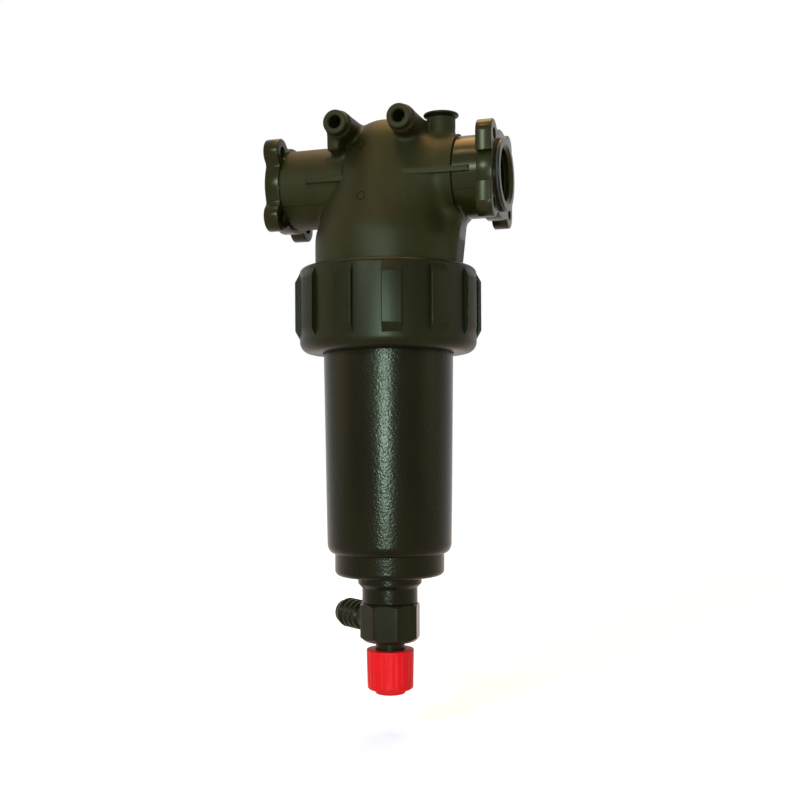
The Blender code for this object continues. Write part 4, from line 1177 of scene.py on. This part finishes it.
def woven_wire():
    """Plain-woven stainless gauze wrapped round Z, its wires 0.32 mm apart, with painted shade in the
    gaps between them.
    """
    material, tree, shader, vector = material_base("woven_wire")
    axes = axes_of(tree, vector)
    pitch, sleeve_r = 0.64, 25.4
    heading = arithmetic(tree, "ARCTAN2", axes["Y"], axes["X"])
    across = arithmetic(tree, "SINE", product(tree, heading, round(2 * math.pi * sleeve_r / pitch)))
    along = arithmetic(tree, "SINE", product(tree, axes["Z"], 2 * math.pi / (pitch * mm)))
    weave = product(tree, across, along)
    height = arithmetic(tree, "ABSOLUTE", weave)
    # Painted shade: the low gaps between the wires are painted near-black in place of open holes with the
    # dark inside behind them, and the wire tops are pale steel.
    wire(tree, tinted(tree, height, (0.03, 0.03, 0.03), (0.58, 0.57, 0.54)), shader.inputs["Base Color"])
    wire(tree, reranged(tree, height, 0.0, 1.0, 0.55, 0.25), shader.inputs["Roughness"])
    shader.inputs["Metallic"].default_value = 1.0
    raised(tree, shader, weave, 0.08 * mm)
    return material


def turned_steel():
    """Stainless screw and washer, with fine turning lines round Z."""
    material, tree, shader, vector = material_base("turned_steel")
    axes = axes_of(tree, vector)
    squares = [product(tree, axes[axis], axes[axis]) for axis in "XY"]
    radius = arithmetic(tree, "SQRT", total(tree, *squares))
    lines = arithmetic(tree, "SINE", product(tree, radius, 2 * math.pi / (0.12 * mm)))
    patches = noise(tree, vector, 900.0, 4.0)
    wire(tree, tinted(tree, patches, (0.42, 0.41, 0.39), (0.62, 0.61, 0.58)), shader.inputs["Base Color"])
    wire(tree, reranged(tree, patches, 0.3, 0.7, 0.2, 0.38), shader.inputs["Roughness"])
    shader.inputs["Metallic"].default_value = 1.0
    raised(tree, shader, lines, 0.004 * mm)
    return material


def seal_rubber():
    material, tree, shader, vector = material_base("seal_rubber")
    grain = placed(tree, moulded_grain, vector, Grain_Scale=2600.0, Flow_Scale=120.0)
    mottle = grain.outputs["Mottle"]
    black = tinted(tree, mottle, (0.008, 0.008, 0.008), (0.018, 0.017, 0.016))
    wire(tree, black, shader.inputs["Base Color"])
    wire(tree, reranged(tree, mottle, 0.0, 1.0, 0.5, 0.66), shader.inputs["Roughness"])
    raised(tree, shader, grain.outputs["Height"], 0.01 * mm)
    return material


head_plastic = moulded_plastic(
    "head_plastic",
    (0.0078, 0.0065, 0.0012),
    (0.0124, 0.0103, 0.0021),
    (0.46, 0.56),
    1500.0,
    0.03 * mm,
    polished=("X", inlet_inner + 0.9 * mm, collar_end + 0.4 * mm),
    polish=0.25,
    specular=0.145,
)
nut_plastic = moulded_plastic(
    "nut_plastic",
    (0.0045, 0.0042, 0.0012),
    (0.0075, 0.0070, 0.0022),
    (0.34, 0.42),
    1700.0,
    0.03 * mm,
    polished=("Z", None, nut_top - 0.35 * mm),
    polish=0.12,
    specular=0.11,
)
bowl_plastic = moulded_plastic(
    "bowl_plastic",
    (0.0010, 0.0009, 0.0001),
    (0.0030, 0.0027, 0.0003),
    (0.24, 0.30),
    750.0,
    0.13 * mm,
    specular=0.13,
)
valve_plastic = moulded_plastic(
    "valve_plastic",
    (0.0050, 0.0045, 0.0012),
    (0.0085, 0.0076, 0.0024),
    (0.20, 0.27),
    2000.0,
    0.02 * mm,
    specular=0.105,
)
plug_plastic = moulded_plastic(
    "plug_plastic",
    (0.0050, 0.0045, 0.0012),
    (0.0085, 0.0076, 0.0024),
    (0.38, 0.46),
    2200.0,
    0.02 * mm,
    specular=0.15,
)
knob_plastic = moulded_plastic(
    "knob_plastic",
    (0.54, 0.004, 0.006),
    (0.62, 0.007, 0.010),
    (0.36, 0.46),
    2200.0,
    0.012 * mm,
    specular=0.09,
    flow_scale=60.0,
    dust=0.03,
)
cartridge_plastic = moulded_plastic(
    "cartridge_plastic", (0.13, 0.14, 0.15), (0.18, 0.19, 0.20), (0.40, 0.52), 2000.0, 0.015 * mm
)
gauze = woven_wire()
steel = turned_steel()
rubber = seal_rubber()


# Dressing the frame


def finished(piece, material):
    piece.data.materials.clear()
    piece.data.materials.append(material)


mouldings = [
    (head_moulding, "head", "head", "head", head_plastic),
    (gauge_plug_moulding, "head", "gauge_plug", "plug", plug_plastic),
    (ring_nut_moulding, "ring", "ring_nut", "ring_nut", nut_plastic),
    (bowl_moulding, "bowl", "bowl", "bowl", bowl_plastic),
    (valve_moulding, "bowl", "valve_body", "valve", valve_plastic),
    (knob_moulding, "knob", "drain_knob", "knob", knob_plastic),
    (knob_cap_moulding, "knob", "knob_cap", "knob", knob_plastic),
]
for make, body, node, slot, finish in mouldings:
    piece = make()
    finished(piece, finish)
    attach(piece, body)
    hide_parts(node)

seals = "gauge_plug outlet bowl screen_top screen_bottom valve plunger_tip plunger_gland".split()
inner_pieces = ["screen_top_collar", "screen_bottom_collar", "screen_cage", "flow_cone", "drain_plunger"]
carried_over = (
    ([seal + "_seal" for seal in seals], rubber),
    (inner_pieces, cartridge_plastic),
    (["mesh_screen"], gauze),
    (["plunger_washer", "plunger_screw"], steel),
)
for nodes, finish in carried_over:
    for node in nodes:
        finished(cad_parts[node], finish)


# Camera of the photograph

camera_heading = math.radians(18)
camera_distance = 0.659
camera_z = -0.1517
camera_roll = -0.006
focal_px = 1111.0
frame_px = 800.0
axis_px = 389.06
horizon_px = 440.0

lens = bpy.data.cameras.new("camera")
lens.sensor_width = 36.0
lens.lens = 36.0 * focal_px / frame_px
lens.shift_y = (horizon_px - frame_px / 2) / frame_px
lens.clip_start = 0.01
camera = bpy.data.objects.new("camera", lens)
bpy.context.scene.collection.objects.link(camera)
bpy.context.scene.camera = camera
camera_right = Vector((math.cos(camera_heading), math.sin(camera_heading), 0))
camera_away = Vector((-math.sin(camera_heading), math.cos(camera_heading), 0))
sideways = (frame_px / 2 - axis_px) / focal_px * camera_distance
camera_at = camera_right * sideways - camera_away * camera_distance + Vector((0, 0, camera_z))
camera.matrix_world = (
    Matrix.Translation(camera_at)
    @ Matrix.Rotation(camera_heading, 4, "Z")
    @ Matrix.Rotation(math.radians(90), 4, "X")
    @ Matrix.Rotation(camera_roll, 4, "Z")
)


# Studio

floor_z = -0.3266  # clear of the knob in every pose
filter_middle = (0, 0, -0.15)


def seen_directly(tree):
    """1 for rays from the camera and for rays that a gloss or glass sends on, otherwise 0."""
    paths = tree.nodes.new("ShaderNodeLightPath")
    shown = arithmetic(tree, "MAXIMUM", paths.outputs["Is Camera Ray"], paths.outputs["Is Glossy Ray"])
    return arithmetic(tree, "MAXIMUM", shown, paths.outputs["Is Transmission Ray"])


def studio_world():
    world = bpy.data.worlds.new("studio")
    bpy.context.scene.world = world
    world.use_nodes = True
    tree = world.node_tree
    room = tree.nodes["Background"]
    room.inputs["Color"].default_value = (1.0, 0.93, 0.80, 1)
    room.inputs["Strength"].default_value = 0.22
    backdrop = tree.nodes.new("ShaderNodeBackground")
    backdrop.inputs["Color"].default_value = (1, 1, 1, 1)
    backdrop.inputs["Strength"].default_value = 1.0
    mixed = tree.nodes.new("ShaderNodeMixShader")
    wire(tree, seen_directly(tree), mixed.inputs[0])
    wire(tree, room.outputs[0], mixed.inputs[1])
    wire(tree, backdrop.outputs[0], mixed.inputs[2])
    wire(tree, mixed.outputs[0], tree.nodes["World Output"].inputs["Surface"])


def pale_floor():
    """A wide pale floor that glows to the camera, more so far from the filter; the weaker glow near the
    filter is a painted dimming that evens out the lamps' pool there and lets the object's shadow show.
    """
    bm = bmesh.new()
    bmesh.ops.create_grid(bm, x_segments=1, y_segments=1, size=30.0)
    bmesh.ops.translate(bm, verts=bm.verts, vec=(0, 0, floor_z))
    floor = new_piece("floor", bm)
    material = bpy.data.materials.new("pale_floor")
    material.use_nodes = True
    tree = material.node_tree
    shader = tree.nodes["Principled BSDF"]
    shader.inputs["Base Color"].default_value = (0.68, 0.72, 0.96, 1)
    shader.inputs["Roughness"].default_value = 0.9
    shader.inputs["Specular IOR Level"].default_value = 0.1
    shader.inputs["Emission Color"].default_value = (1, 1, 1, 1)
    coordinates = tree.nodes.new("ShaderNodeTexCoord")
    distance = tree.nodes.new("ShaderNodeVectorMath")
    distance.operation = "LENGTH"
    wire(tree, coordinates.outputs["Object"], distance.inputs[0])
    # Painted light: the floor's glow rises from 0.53 near the filter to 0.82 far away, against the
    # fall-off of the lamps' light.
    level = reranged(tree, distance.outputs["Value"], 0.3, 1.6, 0.53, 0.82)
    glow = arithmetic(tree, "MULTIPLY", seen_directly(tree), level)
    wire(tree, glow, shader.inputs["Emission Strength"])
    floor.data.materials.append(material)


def softbox(name, heading, height, distance, width, tall, power, colour, aim=filter_middle, spread=180):
    """A rectangular lamp seen from the filter at a heading, in degrees from the front."""
    turn = math.radians(heading)
    at = Vector((math.sin(turn) * distance, -math.cos(turn) * distance, height))
    light = bpy.data.lights.new(name, "AREA")
    light.shape = "RECTANGLE"
    light.size = width
    light.size_y = tall
    light.energy = power
    light.color = colour
    light.spread = math.radians(spread)
    lamp = bpy.data.objects.new(name, light)
    facing = (Vector(aim) - at).to_track_quat("-Z", "Y").to_matrix().to_4x4()
    lamp.matrix_world = Matrix.Translation(at) @ facing
    bpy.context.scene.collection.objects.link(lamp)


studio_world()
pale_floor()
softbox("key", 11, -0.13, 1.5, 0.17, 0.40, 0.88, (0.50, 0.78, 1.0), spread=24)
softbox("left_fill", -70, 0.25, 1.4, 0.9, 0.9, 2.8, (1.0, 0.78, 0.40))
softbox("right_fill", 95, 0.25, 1.4, 0.7, 0.9, 2.5, (1.0, 0.97, 0.70))
softbox("top", -18, 1.2, 0.62, 0.45, 0.07, 4.0, (1.0, 0.80, 0.48))
softbox("window", -13, 0.42, 1.5, 0.13, 0.17, 10.5, (0.64, 0.86, 1.0), (0.065, -0.027, 0.015))
softbox("ceiling", 180, 1.1, 0.25, 0.8, 0.8, 16.0, (1.0, 0.55, 0.14))

bpy.context.scene.view_settings.view_transform = "Standard"
